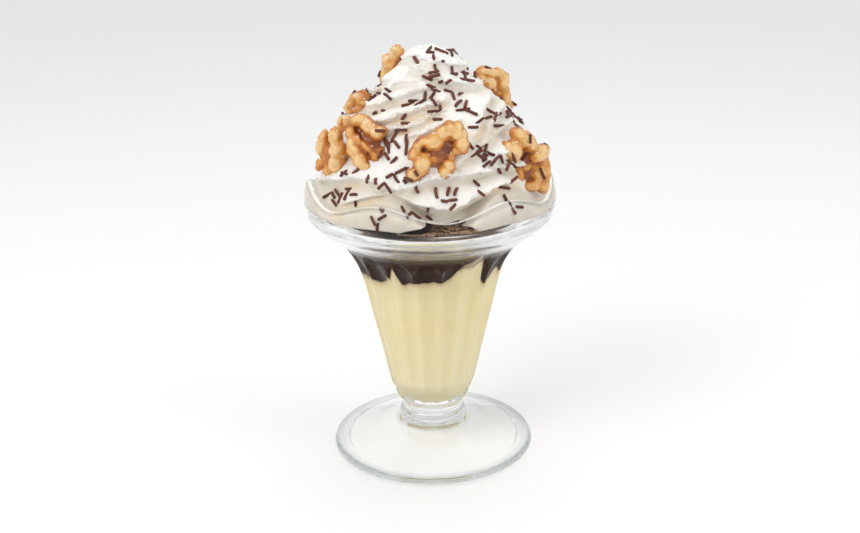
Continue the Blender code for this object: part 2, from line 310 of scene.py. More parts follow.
@dataclass(frozen=True)
class GlassFinish:
    """Clear pressed glass with the faint waviness of its mould.

    The rims and the knop take the edge tone, a painted dark reflection; the crest of the lip glows as a
    painted highlight; and below the shoulder a share of the light, the clarity, goes straight through to the
    sauce.
    """

    thin: Colour = (0.996, 0.998, 0.998)
    thick: Colour = (0.984, 0.991, 0.990)
    foot: Colour = (0.954, 0.952, 0.943)
    foot_below: Pair = (16.0 * MM, 11.0 * MM)
    # Darker edge tone on the rims and the knop: painted dark reflection lines.
    edge: Colour = (0.690, 0.715, 0.715)
    shine: Colour = (0.22, 0.22, 0.22)
    # Strength of the painted highlight that glows white on the crest of the lip.
    painted_highlight_strength: float = 0.32
    clarity: float = 0.54
    refraction: float = 1.42
    wave: float = 22.0 * MM
    relief: float = 0.02 * MM

    def material(self) -> bpy.types.Material:
        """Build the glass material."""
        graph = Graph("pressed_glass")
        cloud = graph.noise(self.wave, 2.0)
        haze = graph.noise(self.wave * 0.3, 2.0)
        body = graph.blend(cloud, self.thin, self.thick)
        body = graph.blend(graph.height().ramped(*self.foot_below), body, self.foot)
        return graph.surface({
            # The edge attribute paints dark reflection lines on the rims and the knop.
            "Base Color": graph.blend(graph.attribute("edge"), body, self.edge),
            "Roughness": 0.004 + haze * 0.010,
            "Normal": graph.bump(cloud, self.relief),
            "IOR": self.refraction,
            "Specular Tint": self.shine,
            # Painted highlight: the crest of the lip glows white, standing in for a gleam along the rim.
            "Emission Color": graph.blend(graph.attribute("crest"), BLACK, WHITE),
            "Emission Strength": self.painted_highlight_strength,
            "Transmission Weight": 1.0,
            "Alpha": 1.0 - self.clarity * graph.attribute("clear"),
        })


@dataclass(frozen=True)
class VanillaFinish:
    """Pale yellow ice cream, slightly wet against the glass, stained where the sauce ends, paler at the
    bottom: painted bounce light, partly a paler cream.
    """

    pale: Colour = (0.95, 0.84, 0.53)
    deep: Colour = (0.93, 0.785, 0.44)
    # Paler colour towards the bottom: painted bounce light from the table, partly the ice cream's own paler
    # tone.
    foot: Colour = (0.95, 0.86, 0.57)
    foot_below: Pair = (72.0 * MM, 34.0 * MM)
    stain: Colour = (0.30, 0.14, 0.045)
    speck: Colour = (0.62, 0.46, 0.22)

    def material(self) -> bpy.types.Material:
        """Build the ice cream material."""
        graph = Graph("vanilla_ice_cream")
        cloud = graph.noise(9.0 * MM, 4.0, 0.55, 0.6, (1.0, 1.0, 0.55))
        grain = graph.noise(0.9 * MM, 2.0)
        specks = graph.noise(1.5 * MM, 1.0).ramped(0.72, 0.80)
        body = graph.blend(cloud.ramped(0.30, 0.74) * 0.65, self.pale, self.deep)
        # Painted bounce light: the colour turns paler towards the bottom of the cup.
        body = graph.blend(graph.height().ramped(*self.foot_below) * 0.85, body, self.foot)
        body = graph.blend(specks * 0.22, body, self.speck)
        soaked = (graph.attribute("soaked") * (0.35 + graph.noise(2.4 * MM, 3.0))).clamped()
        return graph.surface({
            "Base Color": graph.blend(soaked, body, self.stain),
            "Roughness": 0.40 + 0.2 * cloud,
            "Specular IOR Level": 0.12,
            "Normal": graph.bump(grain, 0.06 * MM),
            "Subsurface Weight": 0.15,
            "Subsurface Radius": (1.0, 0.7, 0.35),
            "Subsurface Scale": 1.5 * MM,
        })


@dataclass(frozen=True)
class SauceFinish:
    """Thick dark chocolate sauce: glossy on top, with pale beige marbling in a band and a patch on its wall.
    """

    dark: Colour = (0.0085, 0.0050, 0.0040)
    warm: Colour = (0.037, 0.0115, 0.0050)
    bubble: Colour = (0.16, 0.085, 0.055)
    pale_beige: Colour = (0.47, 0.29, 0.17)

    def material(self) -> bpy.types.Material:
        """Build the sauce material."""
        graph = Graph("chocolate_sauce")
        streaks = graph.noise(3.2 * MM, 4.0, 0.6, 0.8, (1.0, 1.0, 0.35))
        bubbles = graph.noise(0.8 * MM, 1.0).ramped(0.72, 0.78)
        wall = graph.attribute("wall")
        body = graph.blend((wall * (0.45 + 0.75 * streaks)).clamped(), self.dark, self.warm)
        body = graph.blend(wall * bubbles * 0.35, body, self.bubble)
        marble = graph.attribute("marble") * graph.noise(1.9 * MM, 4.0, 0.6, 1.4).ramped(0.40, 0.56)
        return graph.surface({
            "Base Color": graph.blend(marble, body, self.pale_beige),
            "Roughness": 0.30 + 0.2 * streaks,
            "Specular IOR Level": 0.04,
            "Normal": graph.bump(streaks, 0.10 * MM),
            "Coat Weight": graph.attribute("free") * 0.6,
            "Coat Roughness": 0.12,
        })


@dataclass(frozen=True)
class CreamFinish:
    """Whipped cream: white crests with a torn grain, hollows darker and warmer from painted shade and partly
    its own warmer tone, amber where syrup ran.

    The glow is how much light spreads inside the cream before it comes out again.
    """

    name: str = "whipped_cream"
    glow: float = 0.40
    crest: Colour = (0.910, 0.894, 0.850)
    # Colour of the hollows: painted shade, partly the cream's own warmer tone.
    hollow: Colour = (0.68, 0.61, 0.50)
    syrup: Colour = (0.86, 0.64, 0.38)

    def material(self) -> bpy.types.Material:
        """Build the whipped cream material."""
        graph = Graph(self.name)
        depth = graph.attribute("hollow")
        torn = graph.attribute("torn")
        cloud = graph.noise(6.0 * MM, 3.0)
        # Painted shade: the hollow attribute darkens the colour under the folds and where the cream is
        # pressed to the glass.
        body = graph.blend((depth * (0.45 + 0.8 * cloud)).clamped(), self.crest, self.hollow)
        syrup = (graph.attribute("syrup") * graph.noise(4.0 * MM, 3.0, 0.5, 0.5).ramped(0.26, 0.72)).clamped()
        grain = graph.noise(0.75 * MM, 3.0, 0.65)
        lather = graph.noise(2.6 * MM, 3.0, 0.6)
        relief = grain * (0.25 + 0.35 * torn) + lather * 0.7
        return graph.surface({
            "Base Color": graph.blend(syrup, body, self.syrup),
            "Roughness": 0.62 - 0.22 * depth,
            "Normal": graph.bump(relief, 0.42 * MM),
            "Subsurface Weight": self.glow,
            "Subsurface Radius": (1.0, 0.95, 0.88),
            "Subsurface Scale": 1.2 * MM,
        })


@dataclass(frozen=True)
class KernelFinish:
    """Walnut kernel: pale amber lobes, tan skin, brown folds, and a thin syrup shine."""

    fold: Colour = (0.235, 0.058, 0.012)
    brown: Colour = (0.430, 0.125, 0.017)
    amber: Colour = (0.640, 0.245, 0.026)
    tan: Colour = (0.700, 0.360, 0.090)
    light: Colour = (0.810, 0.540, 0.240)

    def material(self) -> bpy.types.Material:
        """Build the kernel material."""
        graph = Graph("walnut_kernel")
        skin = graph.noise(4.5 * MM, 4.0, 0.6, 0.7)
        veins = graph.noise(1.1 * MM, 3.0, 0.6, 1.0)
        level = (graph.attribute("lobe") + (skin - 0.5) * 0.55 + (veins - 0.5) * 0.22).clamped()
        body = graph.ramp(level, [(0.0, self.fold), (0.20, self.brown), (0.45, self.amber), (0.72, self.tan),
                                  (0.97, self.light)])
        return graph.surface({
            "Base Color": body,
            "Roughness": 0.26 + 0.25 * veins,
            "Normal": graph.bump(veins * 0.6 + skin * 0.6, 0.28 * MM),
            "Coat Weight": 0.65,
            "Coat Roughness": 0.09,
            "Subsurface Weight": 0.30,
            "Subsurface Radius": (1.0, 0.5, 0.2),
            "Subsurface Scale": 1.4 * MM,
        })


@dataclass(frozen=True)
class SprinkleFinish:
    """Brown chocolate strands with a dull shine, no two quite the same brown."""

    dark: Colour = (0.070, 0.017, 0.009)
    light: Colour = (0.185, 0.052, 0.028)

    def material(self) -> bpy.types.Material:
        """Build the sprinkle material."""
        graph = Graph("chocolate_sprinkle")
        patch = graph.noise(1.3 * MM, 2.0)
        shade = (graph.attribute("shade") * 0.6 + patch * 0.4).clamped()
        return graph.surface({
            "Base Color": graph.blend(shade, self.dark, self.light),
            "Roughness": 0.38 + 0.2 * patch,
            "Specular IOR Level": 0.35,
            "Normal": graph.bump(graph.noise(0.5 * MM, 2.0), 0.05 * MM),
        })


@dataclass(frozen=True)
class TableFinish:
    """Plain pale studio table."""

    tone: Colour = (0.90, 0.90, 0.90)
    cloud: Colour = (0.88, 0.88, 0.885)
    glow: float = 0.06

    def material(self) -> bpy.types.Material:
        """Build the table material."""
        graph = Graph("pale_table")
        return graph.surface({
            "Base Color": graph.blend(graph.noise(150.0 * MM, 2.0), self.tone, self.cloud),
            "Roughness": 0.75,
            "Emission Color": WHITE,
            "Emission Strength": self.glow,
        })


# ---------- Modelling ----------


class Lathe:
    """Turns outlines round the upright axis."""

    @staticmethod
    def turn(name: str, outline: Sequence[Pair], steps: int) -> bpy.types.Object:
        """Draw an outline by extruding one vertex, and spin it into a closed solid.

        Args:
            name: Name of the new piece.
            outline: (radius, height) points in metres, from the axis back to the axis.
            steps: Number of steps round the axis.

        Returns:
            The new piece, in object mode.
        """
        bpy.ops.object.select_all(action="DESELECT")
        bpy.ops.mesh.primitive_plane_add(size=MM, location=ON_AXIS)
        piece = bpy.context.object
        piece.name = name
        piece.data.name = name
        bpy.ops.object.mode_set(mode="EDIT")
        bpy.ops.mesh.select_all(action="SELECT")
        bpy.ops.mesh.merge(type="CENTER")
        bpy.ops.transform.translate(value=(outline[0][0], 0.0, outline[0][1]))
        for before, after in zip(outline, outline[1:]):
            step = (after[0] - before[0], 0.0, after[1] - before[1])
            bpy.ops.mesh.extrude_region_move(TRANSFORM_OT_translate={"value": step})
        bpy.ops.mesh.select_all(action="SELECT")
        bpy.ops.mesh.spin(steps=steps, angle=math.tau, center=ON_AXIS, axis=(0.0, 0.0, 1.0))
        bpy.ops.mesh.select_all(action="SELECT")
        bpy.ops.mesh.remove_doubles(threshold=0.002 * MM)
        bpy.ops.mesh.normals_make_consistent(inside=False)
        bpy.ops.object.mode_set(mode="OBJECT")
        return piece


def rows_of(mesh: bpy.types.Mesh, what: str = "co") -> np.ndarray:
    """Places ("co", in metres) or directions ("normal") of a mesh's vertices, one row each."""
    flat = np.empty(len(mesh.vertices) * 3)
    mesh.vertices.foreach_get(what, flat)
    return flat.reshape(-1, 3)


def move_points(piece: bpy.types.Object, points: np.ndarray) -> None:
    """Put the piece's vertices where the rows say."""
    piece.data.vertices.foreach_set("co", points.ravel())
    piece.data.update()


def store(piece: bpy.types.Object, name: str, values: np.ndarray) -> None:
    """Keep one number for each vertex under a name that the material reads."""
    kept = piece.data.attributes.new(name, "FLOAT", "POINT")
    kept.data.foreach_set("value", values.astype(np.float32))


def round_axis(points: np.ndarray) -> tuple[np.ndarray, np.ndarray]:
    """Bearing in degrees and distance from the axis in metres of each point."""
    return np.degrees(np.arctan2(points[:, 0], -points[:, 1])), np.hypot(points[:, 0], points[:, 1])


def mesh_alone(made: bpy.types.Object) -> bpy.types.Mesh:
    """Keep the mesh of a modelled object, for copying, and drop the object."""
    mesh = made.data
    bpy.data.objects.remove(made, do_unlink=True)
    return mesh


def joined(name: str, points: np.ndarray, faces: Sequence[Sequence[int]]) -> bpy.types.Object:
    """Make one piece of many scattered copies.

    Args:
        name: Name of the piece.
        points: All the copies' vertices, one row each, in metres.
        faces: All the copies' faces, as indices of the rows.

    Returns:
        The new piece, linked to the scene.
    """
    mesh = bpy.data.meshes.new(name)
    mesh.from_pydata(points.tolist(), [], faces)
    mesh.update()
    piece = bpy.data.objects.new(name, mesh)
    bpy.context.scene.collection.objects.link(piece)
    return piece


def dress(piece: bpy.types.Object, material: bpy.types.Material, nodes: Sequence[str]) -> None:
    """Finish a piece: smooth it, give it its material, and fix it to the frame.

    Args:
        piece: The new piece.
        material: Its finish.
        nodes: CAD nodes that the piece stands for.
    """
    piece.data.materials.clear()
    piece.data.materials.append(material)
    piece.data.shade_smooth()
    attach(piece, "root")
    if nodes:
        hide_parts(*nodes)
    LOG.info("%s: %d vertices", piece.name, len(piece.data.vertices))


# ---------- The glass ----------


@dataclass
class SundaeGlass:
    """Footed tulip cup with flutes, a ringed shoulder and a lip of six petals.

    Sizes are in mm. The outlines are (height, radius) points, and the knop's, foot's and underside's are
    (radius, height). The beads are the shoulder's rings: height, how proud they stand, and half-width.
    """

    rim_radius: float = 53.0
    rim_height: float = 124.0
    rim_half_thickness: float = 1.45
    rim_crown: float = 1.6
    cup_floor: float = 23.0
    cup_floor_rise: float = 13.0
    petals: int = 6
    petal_height: float = 3.05
    petal_base: float = 116.0
    flutes: int = 18
    flute_depth: float = 0.066
    flute_deeper: float = 0.22
    flute_deepening: Pair = (94.0, 104.0)
    flute_roundness: float = 0.72
    flute_foot: Pair = (24.0, 33.0)
    flute_head: Pair = (93.0, 101.4)
    flute_end: float = 2.4
    front_valley: float = 7.0
    steps: int = 360
    outer: tuple[Pair, ...] = (
        (24.0, 16.3), (28.0, 17.9), (32.0, 19.4), (38.0, 20.9), (48.0, 23.1), (70.0, 28.2), (82.0, 30.9),
        (92.0, 34.6), (97.0, 37.6), (101.0, 41.0), (105.0, 45.9), (109.0, 50.9), (113.0, 54.2),
        (117.0, 55.4), (121.0, 55.35), (124.0, 54.45))
    widest: float = 55.86
    finer_above: float = 90.0
    inner: tuple[Pair, ...] = (
        (36.0, 17.2), (48.0, 19.9), (70.0, 25.0), (82.0, 27.6), (92.0, 30.6), (97.0, 32.8), (101.0, 35.6),
        (105.0, 39.6), (109.0, 44.6), (113.0, 49.4), (117.0, 52.3), (121.0, 52.7), (124.0, 51.55))
    knop_and_foot: tuple[Pair, ...] = (
        (16.3, 24.0), (14.2, 21.6), (13.1, 19.6), (14.1, 18.0), (15.2, 16.8), (15.5, 15.0), (15.3, 13.4),
        (16.6, 12.2), (21.0, 10.6), (29.0, 7.9), (37.0, 5.1), (41.8, 3.5), (43.6, 3.75), (45.4, 3.2),
        (46.4, 1.4), (45.9, 0.35), (45.0, 0.0))
    underside: tuple[Pair, ...] = (
        (39.0, 0.0), (38.4, 0.5), (36.5, 1.1), (30.0, 3.1), (23.0, 5.3), (16.0, 7.0), (8.0, 8.0),
        (0.0, 8.3))
    beads: tuple[Triple, ...] = ((117.4, 0.16, 0.7), (112.7, 0.20, 0.9), (105.8, 0.20, 0.8))
    clear_from: Pair = (94.0, 98.0)
    clear_to: Pair = (104.6, 103.2)
    # Heights above the rim, in mm, where the painted highlight starts and where it is full.
    painted_highlight_above_rim: Pair = (1.25, 1.5)
    edge_below_rim: float = 0.3
    foot_edge: Pair = (44.2, 5.0)
    knop_waist: float = 12.5
    knop_edge: Pair = (11.5, 17.5)
    # Share of the painted dark reflection that the knop takes.
    knop_painted_reflection: float = 0.7
    finish: GlassFinish = field(default_factory=GlassFinish)

    def inner_radius(self, height: np.ndarray) -> np.ndarray:
        """Radius of the cup's inside, in mm, at heights in mm."""
        floor_end = self.cup_floor + self.cup_floor_rise
        drop = np.clip((floor_end - height) / self.cup_floor_rise, 0.0, 1.0)
        return hermite(self.inner, height) * np.sqrt(1.0 - drop * drop)

    def outer_radius(self, height: np.ndarray) -> np.ndarray:
        """Radius of the cup's outside, in mm, with the beads on its shoulder."""
        radius = hermite(self.outer, height)
        for place, proud, width in self.beads:
            radius = radius + proud * np.exp(-((height - place) / width) ** 2)
        return np.minimum(radius, self.widest)

    def lift(self, height: np.ndarray, bearing: np.ndarray) -> np.ndarray:
        """How far, in mm, the petals lift the lip at heights and bearings."""
        wave = -np.cos(np.radians(self.petals * (bearing - self.front_valley)))
        return self.petal_height * ease(self.petal_base, self.rim_height, height) * wave

    def outline(self) -> list[Pair]:
        """Outline of the whole glass: up the inside, over the rim, down the outside, under the foot."""
        bottom = self.outer[0][0]
        turns = np.radians(np.linspace(0.0, 90.0, 14)[:-1])
        floor = self.cup_floor + self.cup_floor_rise * (1.0 - np.cos(turns))
        inside = np.concatenate((floor,
                                 np.linspace(self.cup_floor + self.cup_floor_rise, self.finer_above, 40)[:-1],
                                 np.linspace(self.finer_above, self.rim_height, 50)[:-1]))
        points = list(zip(self.inner_radius(inside), inside))
        for turn in np.radians(np.linspace(180.0, 0.0, 15)[:-1]):
            points.append((self.rim_radius + self.rim_half_thickness * math.cos(turn),
                           self.rim_height + self.rim_crown * math.sin(turn)))
        outside = np.concatenate((np.linspace(self.rim_height, self.finer_above, 74)[:-1],
                                  np.linspace(self.finer_above, bottom, 62)[:-1]))
        points += list(zip(self.outer_radius(outside), outside))
        points += flowing(self.knop_and_foot, 4)
        points += flowing(self.underside, 4)
        points[0] = (0.0, self.cup_floor)
        return [(radius * MM, height * MM) for radius, height in points]

    def hollow(self, bearing: np.ndarray) -> np.ndarray:
        """How deep in a flute each bearing lies: 0 on a ridge and 1 in a flute's middle."""
        across = ((bearing - self.front_valley) * self.flutes / 360.0) % 1.0
        return np.sin(np.pi * across) ** self.flute_roundness

    def press_flutes(self, height: np.ndarray, bearing: np.ndarray) -> np.ndarray:
        """Share of the radius that the flutes take off the outside."""
        hollow = self.hollow(bearing)
        head = self.flute_head[0] + (self.flute_head[1] - self.flute_head[0]) * hollow
        rise = ease(self.flute_foot[0], self.flute_foot[1], height)
        end = ease(head, head - self.flute_end, height)
        depth = self.flute_depth * (1.0 + self.flute_deeper * ease(*self.flute_deepening, height))
        return depth * hollow * rise * end

    def build(self) -> bpy.types.Object:
        """Turn the glass, press its flutes and draw its lip into petals."""
        glass = Lathe.turn("sundae_glass", self.outline(), self.steps)
        points = rows_of(glass.data)
        bearing, radius = round_axis(points)
        height = points[:, 2] / MM
        middle = 0.5 * (self.inner_radius(height) + hermite(self.outer, height)) * MM
        outside = (radius > middle) & (height > self.flute_foot[0])
        factor = np.where(outside, 1.0 - self.press_flutes(height, bearing), 1.0)
        points[:, :2] *= factor[:, None]
        points[:, 2] += self.lift(height, bearing) * MM
        move_points(glass, points)
        self.mark(glass, radius / MM, height, outside)
        glass.visible_shadow = False
        dress(glass, self.finish.material(), ["glass"])
        return glass

    def mark(self, glass: bpy.types.Object, radius: np.ndarray, height: np.ndarray,
             outside: np.ndarray) -> None:
        """Store where the glass's edges with their painted dark reflection, the clear wall and the crest with
        its painted highlight are.

        Args:
            glass: The finished piece.
            radius: Each vertex's distance from the axis in mm, before the flutes.
            height: Each vertex's height in mm, before the petals.
            outside: Which vertices are on the cup's outside.
        """
        foot_radius, foot_height = self.foot_edge
        low, high = self.knop_edge
        lip = height > self.rim_height - self.edge_below_rim
        foot = (height < foot_height) & (radius > foot_radius)
        knop = (height > low) & (height < high) & (radius > self.knop_waist)
        # Painted dark reflection on the lip, the foot's rim and the knop.
        store(glass, "edge", np.where(lip | foot, 1.0, np.where(knop, self.knop_painted_reflection, 0.0)))
        store(glass, "clear", ease(*self.clear_from, height) * ease(*self.clear_to, height) * outside)
        # The crest of the lip carries the painted highlight.
        start, full = self.painted_highlight_above_rim
        store(glass, "crest", ease(self.rim_height + start, self.rim_height + full, height))


# ---------- Ice cream and sauce ----------


@dataclass
class DripLine:
    """The line round the cup where the sauce ends: (bearing, height) points, in degrees and mm."""

    stations: tuple[Pair, ...] = (
        (-98.0, 90.0), (-88.0, 86.5), (-74.0, 85.5), (-60.0, 86.2), (-46.0, 86.8), (-39.0, 88.0),
        (-34.0, 92.5), (-31.0, 95.5), (-28.5, 92.0), (-25.5, 88.2), (-18.0, 88.6), (-8.0, 89.3),
        (2.0, 89.4), (10.0, 89.8), (16.0, 92.0), (21.0, 94.6), (31.0, 97.6), (37.0, 99.5), (41.0, 99.2),
        (44.0, 93.0), (46.5, 87.0), (50.0, 85.5), (58.0, 86.6), (65.0, 90.0), (78.0, 88.0),
        (92.0, 91.0), (104.0, 96.0), (112.0, 88.5), (126.0, 86.0), (140.0, 89.5), (152.0, 97.0),
        (165.0, 90.0), (178.0, 87.0), (192.0, 88.5), (205.0, 94.0), (214.0, 97.0), (221.0, 88.5),
        (236.0, 86.0), (252.0, 88.0), (262.0, 90.0))

    def height(self, bearing: np.ndarray) -> np.ndarray:
        """Height of the line in mm at each bearing."""
        start = self.stations[0][0]
        turned = (bearing - start) % 360.0 + start
        level = hermite(self.stations, turned)
        fine = 0.28 * np.sin(np.radians(17.0 * bearing + 40.0)) + 0.18 * np.sin(np.radians(41.0 * bearing))
        return level + fine


@dataclass
class VanillaIceCream:
    """Ice cream that fills the cone, pressed against the glass."""

    glass: SundaeGlass
    drips: DripLine
    bite: float = 0.22
    rib: float = 0.75
    rib_from: Pair = (30.0, 42.0)
    rib_to: Pair = (90.0, 78.0)
    middle: float = 12.0
    soaks: float = 1.3
    top: float = 101.0
    steps: int = 360
    finish: VanillaFinish = field(default_factory=VanillaFinish)

    def build(self) -> bpy.types.Object:
        """Turn the ice cream and mark where sauce has soaked into it."""
        heights = np.linspace(self.top, self.glass.cup_floor + 0.6, 150)
        outline = [(0.0, self.top * MM), (self.middle * MM, self.top * MM)]
        outline += [((radius + self.bite) * MM, height * MM)
                    for radius, height in zip(self.glass.inner_radius(heights), heights)]
        outline.append((0.0, (self.glass.cup_floor - self.bite) * MM))
        scoop = Lathe.turn("vanilla_ice_cream", outline, self.steps)
        points = rows_of(scoop.data)
        bearing, radius = round_axis(points)
        height = points[:, 2] / MM
        below = self.drips.height(bearing) - height
        store(scoop, "soaked", np.exp(-np.clip(below, 0.0, None) / self.soaks) * 0.85)
        ridges = 1.0 - self.glass.hollow(bearing)
        ribs = self.rib * ridges * ease(*self.rib_from, height) * ease(*self.rib_to, height)
        factor = 1.0 + ribs * MM / np.maximum(radius, MM) * (radius > self.middle * MM)
        points[:, :2] *= factor[:, None]
        move_points(scoop, points)
        dress(scoop, self.finish.material(), ["ice_cream"])
        return scoop


@dataclass
class ChocolateSauce:
    """Layer of sauce on the ice cream, running down in drips between it and the glass."""

    glass: SundaeGlass
    drips: DripLine
    bite: float = 0.34
    top: float = 121.4
    foot: float = 88.0
    hidden_floor: float = 92.0
    free_above: float = 101.0
    crown: Triple = (0.0, 20.0, 30.0)
    core: tuple[Pair, ...] = (
        (100.0, 35.2), (102.0, 36.4), (104.0, 37.4), (107.0, 38.4), (110.0, 38.9), (114.0, 39.4),
        (119.0, 40.2), (121.4, 40.0))
    steps: int = 360
    rows: int = 72
    finish: SauceFinish = field(default_factory=SauceFinish)

    def radius(self, height: np.ndarray) -> np.ndarray:
        """Radius in mm at heights in mm: in the glass's wall below, free of it in the shoulder."""
        pressed = self.glass.inner_radius(height) + self.bite
        return np.where(height < self.free_above, pressed, np.minimum(pressed, hermite(self.core, height)))

    def outline(self) -> list[Pair]:
        """Outline from the middle of the top, down the wall, to the middle of the underside."""
        middle = self.crown[1]
        heights = self.top - np.linspace(0.0, 1.0, self.rows) * (self.top - self.foot)
        points = [(radius, self.top) for radius in self.crown]
        points += list(zip(self.radius(heights), heights))
        points += [(middle, self.foot), (0.0, self.foot)]
        return [(radius * MM, height * MM) for radius, height in points]

    def marbling(self, bearing: np.ndarray, height: np.ndarray) -> np.ndarray:
        """How strongly pale beige marbles the wall: an arched band, flecks below it, a patch above.

        Args:
            bearing: Bearing of each vertex in degrees.
            height: Height of each vertex in mm.

        Returns:
            The strength at each vertex.
        """
        arch = 2.2 * np.exp(-(apart(bearing, 14.0) / 30.0) ** 2)
        band = np.exp(-((height - 110.6) / np.maximum(arch, 0.4)) ** 4) * (arch > 0.5)
        flecks = np.exp(-((height - 106.0) / 1.2) ** 2) * (np.abs(apart(bearing, 5.0)) < 65.0)
        patch = np.exp(-((height - 116.2) / 2.6) ** 4 - (apart(bearing, 13.0) / 12.0) ** 4)
        return np.maximum(np.maximum(band * 1.5, flecks * 0.45), patch * 0.75)

    def build(self) -> bpy.types.Object:
        """Turn the sauce and let its lower edge run into drips."""
        sauce = Lathe.turn("chocolate_sauce_layer", self.outline(), self.steps)
        points = rows_of(sauce.data)
        bearing, radius = round_axis(points)
        height = points[:, 2] / MM
        middle, brim = self.crown[1:]
        share = np.clip((self.top - height) / (self.top - self.foot), 0.0, 1.0)
        wall = (radius > (brim + 1.0) * MM) | ((height < self.top - 0.1) & (radius > (middle + 1.0) * MM))
        lowered = self.top - share * (self.top - self.drips.height(bearing))
        lumps = ripple(points, 6.0 * MM, 3.0) + 0.4 * ripple(points, 2.4 * MM, 8.0)
        new_radius = (self.radius(lowered) + 0.9 * lumps * ease(101.5, 105.0, lowered)) * MM
        factor = np.where(wall, new_radius / np.maximum(radius, MM), 1.0)
        points[:, :2] *= factor[:, None]
        points[:, 2] = np.where(wall, lowered, np.where(height < 100.0, self.hidden_floor, height)) * MM
        move_points(sauce, points)
        store(sauce, "marble", np.where(wall, self.marbling(bearing, lowered), 0.0))
        store(sauce, "wall", np.where(wall, ease(109.0, 104.0, lowered), 0.0))
        store(sauce, "free", np.where(wall, 0.06 * ease(self.free_above, 106.0, lowered), 1.0))
        dress(sauce, self.finish.material(), ["chocolate_sauce"])
        return sauce


# ---------- Whipped cream ----------


@dataclass(frozen=True)
class Fold:
    """One crest of piped cream, gentle above and steep below.

    The line is its crest, as (bearing, height) points. The lift is how far it stands out, and above and
    below are how wide its two sides are, in mm. Ragged is 1 on the most torn crest and 0 on a smooth one.
    """

    line: tuple[Pair, ...]
    lift: float
    above: float
    below: float
    ragged: float = 0.5

    def crossed(self, bearing: np.ndarray, height: np.ndarray, radius: np.ndarray, stretch: np.ndarray,
                wander: np.ndarray) -> tuple[np.ndarray, np.ndarray]:
        """Measure the mound's vertices against the crest.

        Args:
            bearing: Bearing of each vertex in degrees.
            height: Height of each vertex in mm.
            radius: Distance of each vertex from the axis in mm.
            stretch: Length along the mound's side for each mm of height.
            wander: How far, in mm, the crest strays down at each vertex.

        Returns:
            For each vertex, its distance above the crest in mm, and its share of the fold: 1 within the
            fold's length and 0 past its ends.
        """
        places = np.array([place for place, _ in self.line])
        levels = np.array([level for _, level in self.line])
        middle = 0.5 * (places[0] + places[-1])
        turned = middle + apart(bearing, middle)
        begun = ease(places[0] - 5.0, places[0] + 9.0, turned)
        inside = begun * ease(places[-1] + 5.0, places[-1] - 9.0, turned)
        tilt = np.interp(turned, places, np.gradient(levels, places))
        steep = tilt * DEGREES_IN_RADIAN / np.maximum(radius, 8.0) * stretch
        crest = hermite(self.line, turned)
        return (height - crest + wander) * stretch / np.sqrt(1.0 + steep * steep), inside

    def shape(self, off: np.ndarray) -> np.ndarray:
        """How far the fold stands out at distances above its crest in mm, as a share of its lift."""
        return np.where(off > 0.0, np.exp(-np.abs(off / self.above) ** 1.3),
                        np.exp(-np.abs(off * 1.35 / self.below) ** 2.4))

    def trough(self, off: np.ndarray) -> np.ndarray:
        """How deep the hollow under the fold is at distances above its crest in mm, from 0 to 1."""
        return np.exp(-((off + 2.3 * self.below) / (1.5 * self.below)) ** 2)


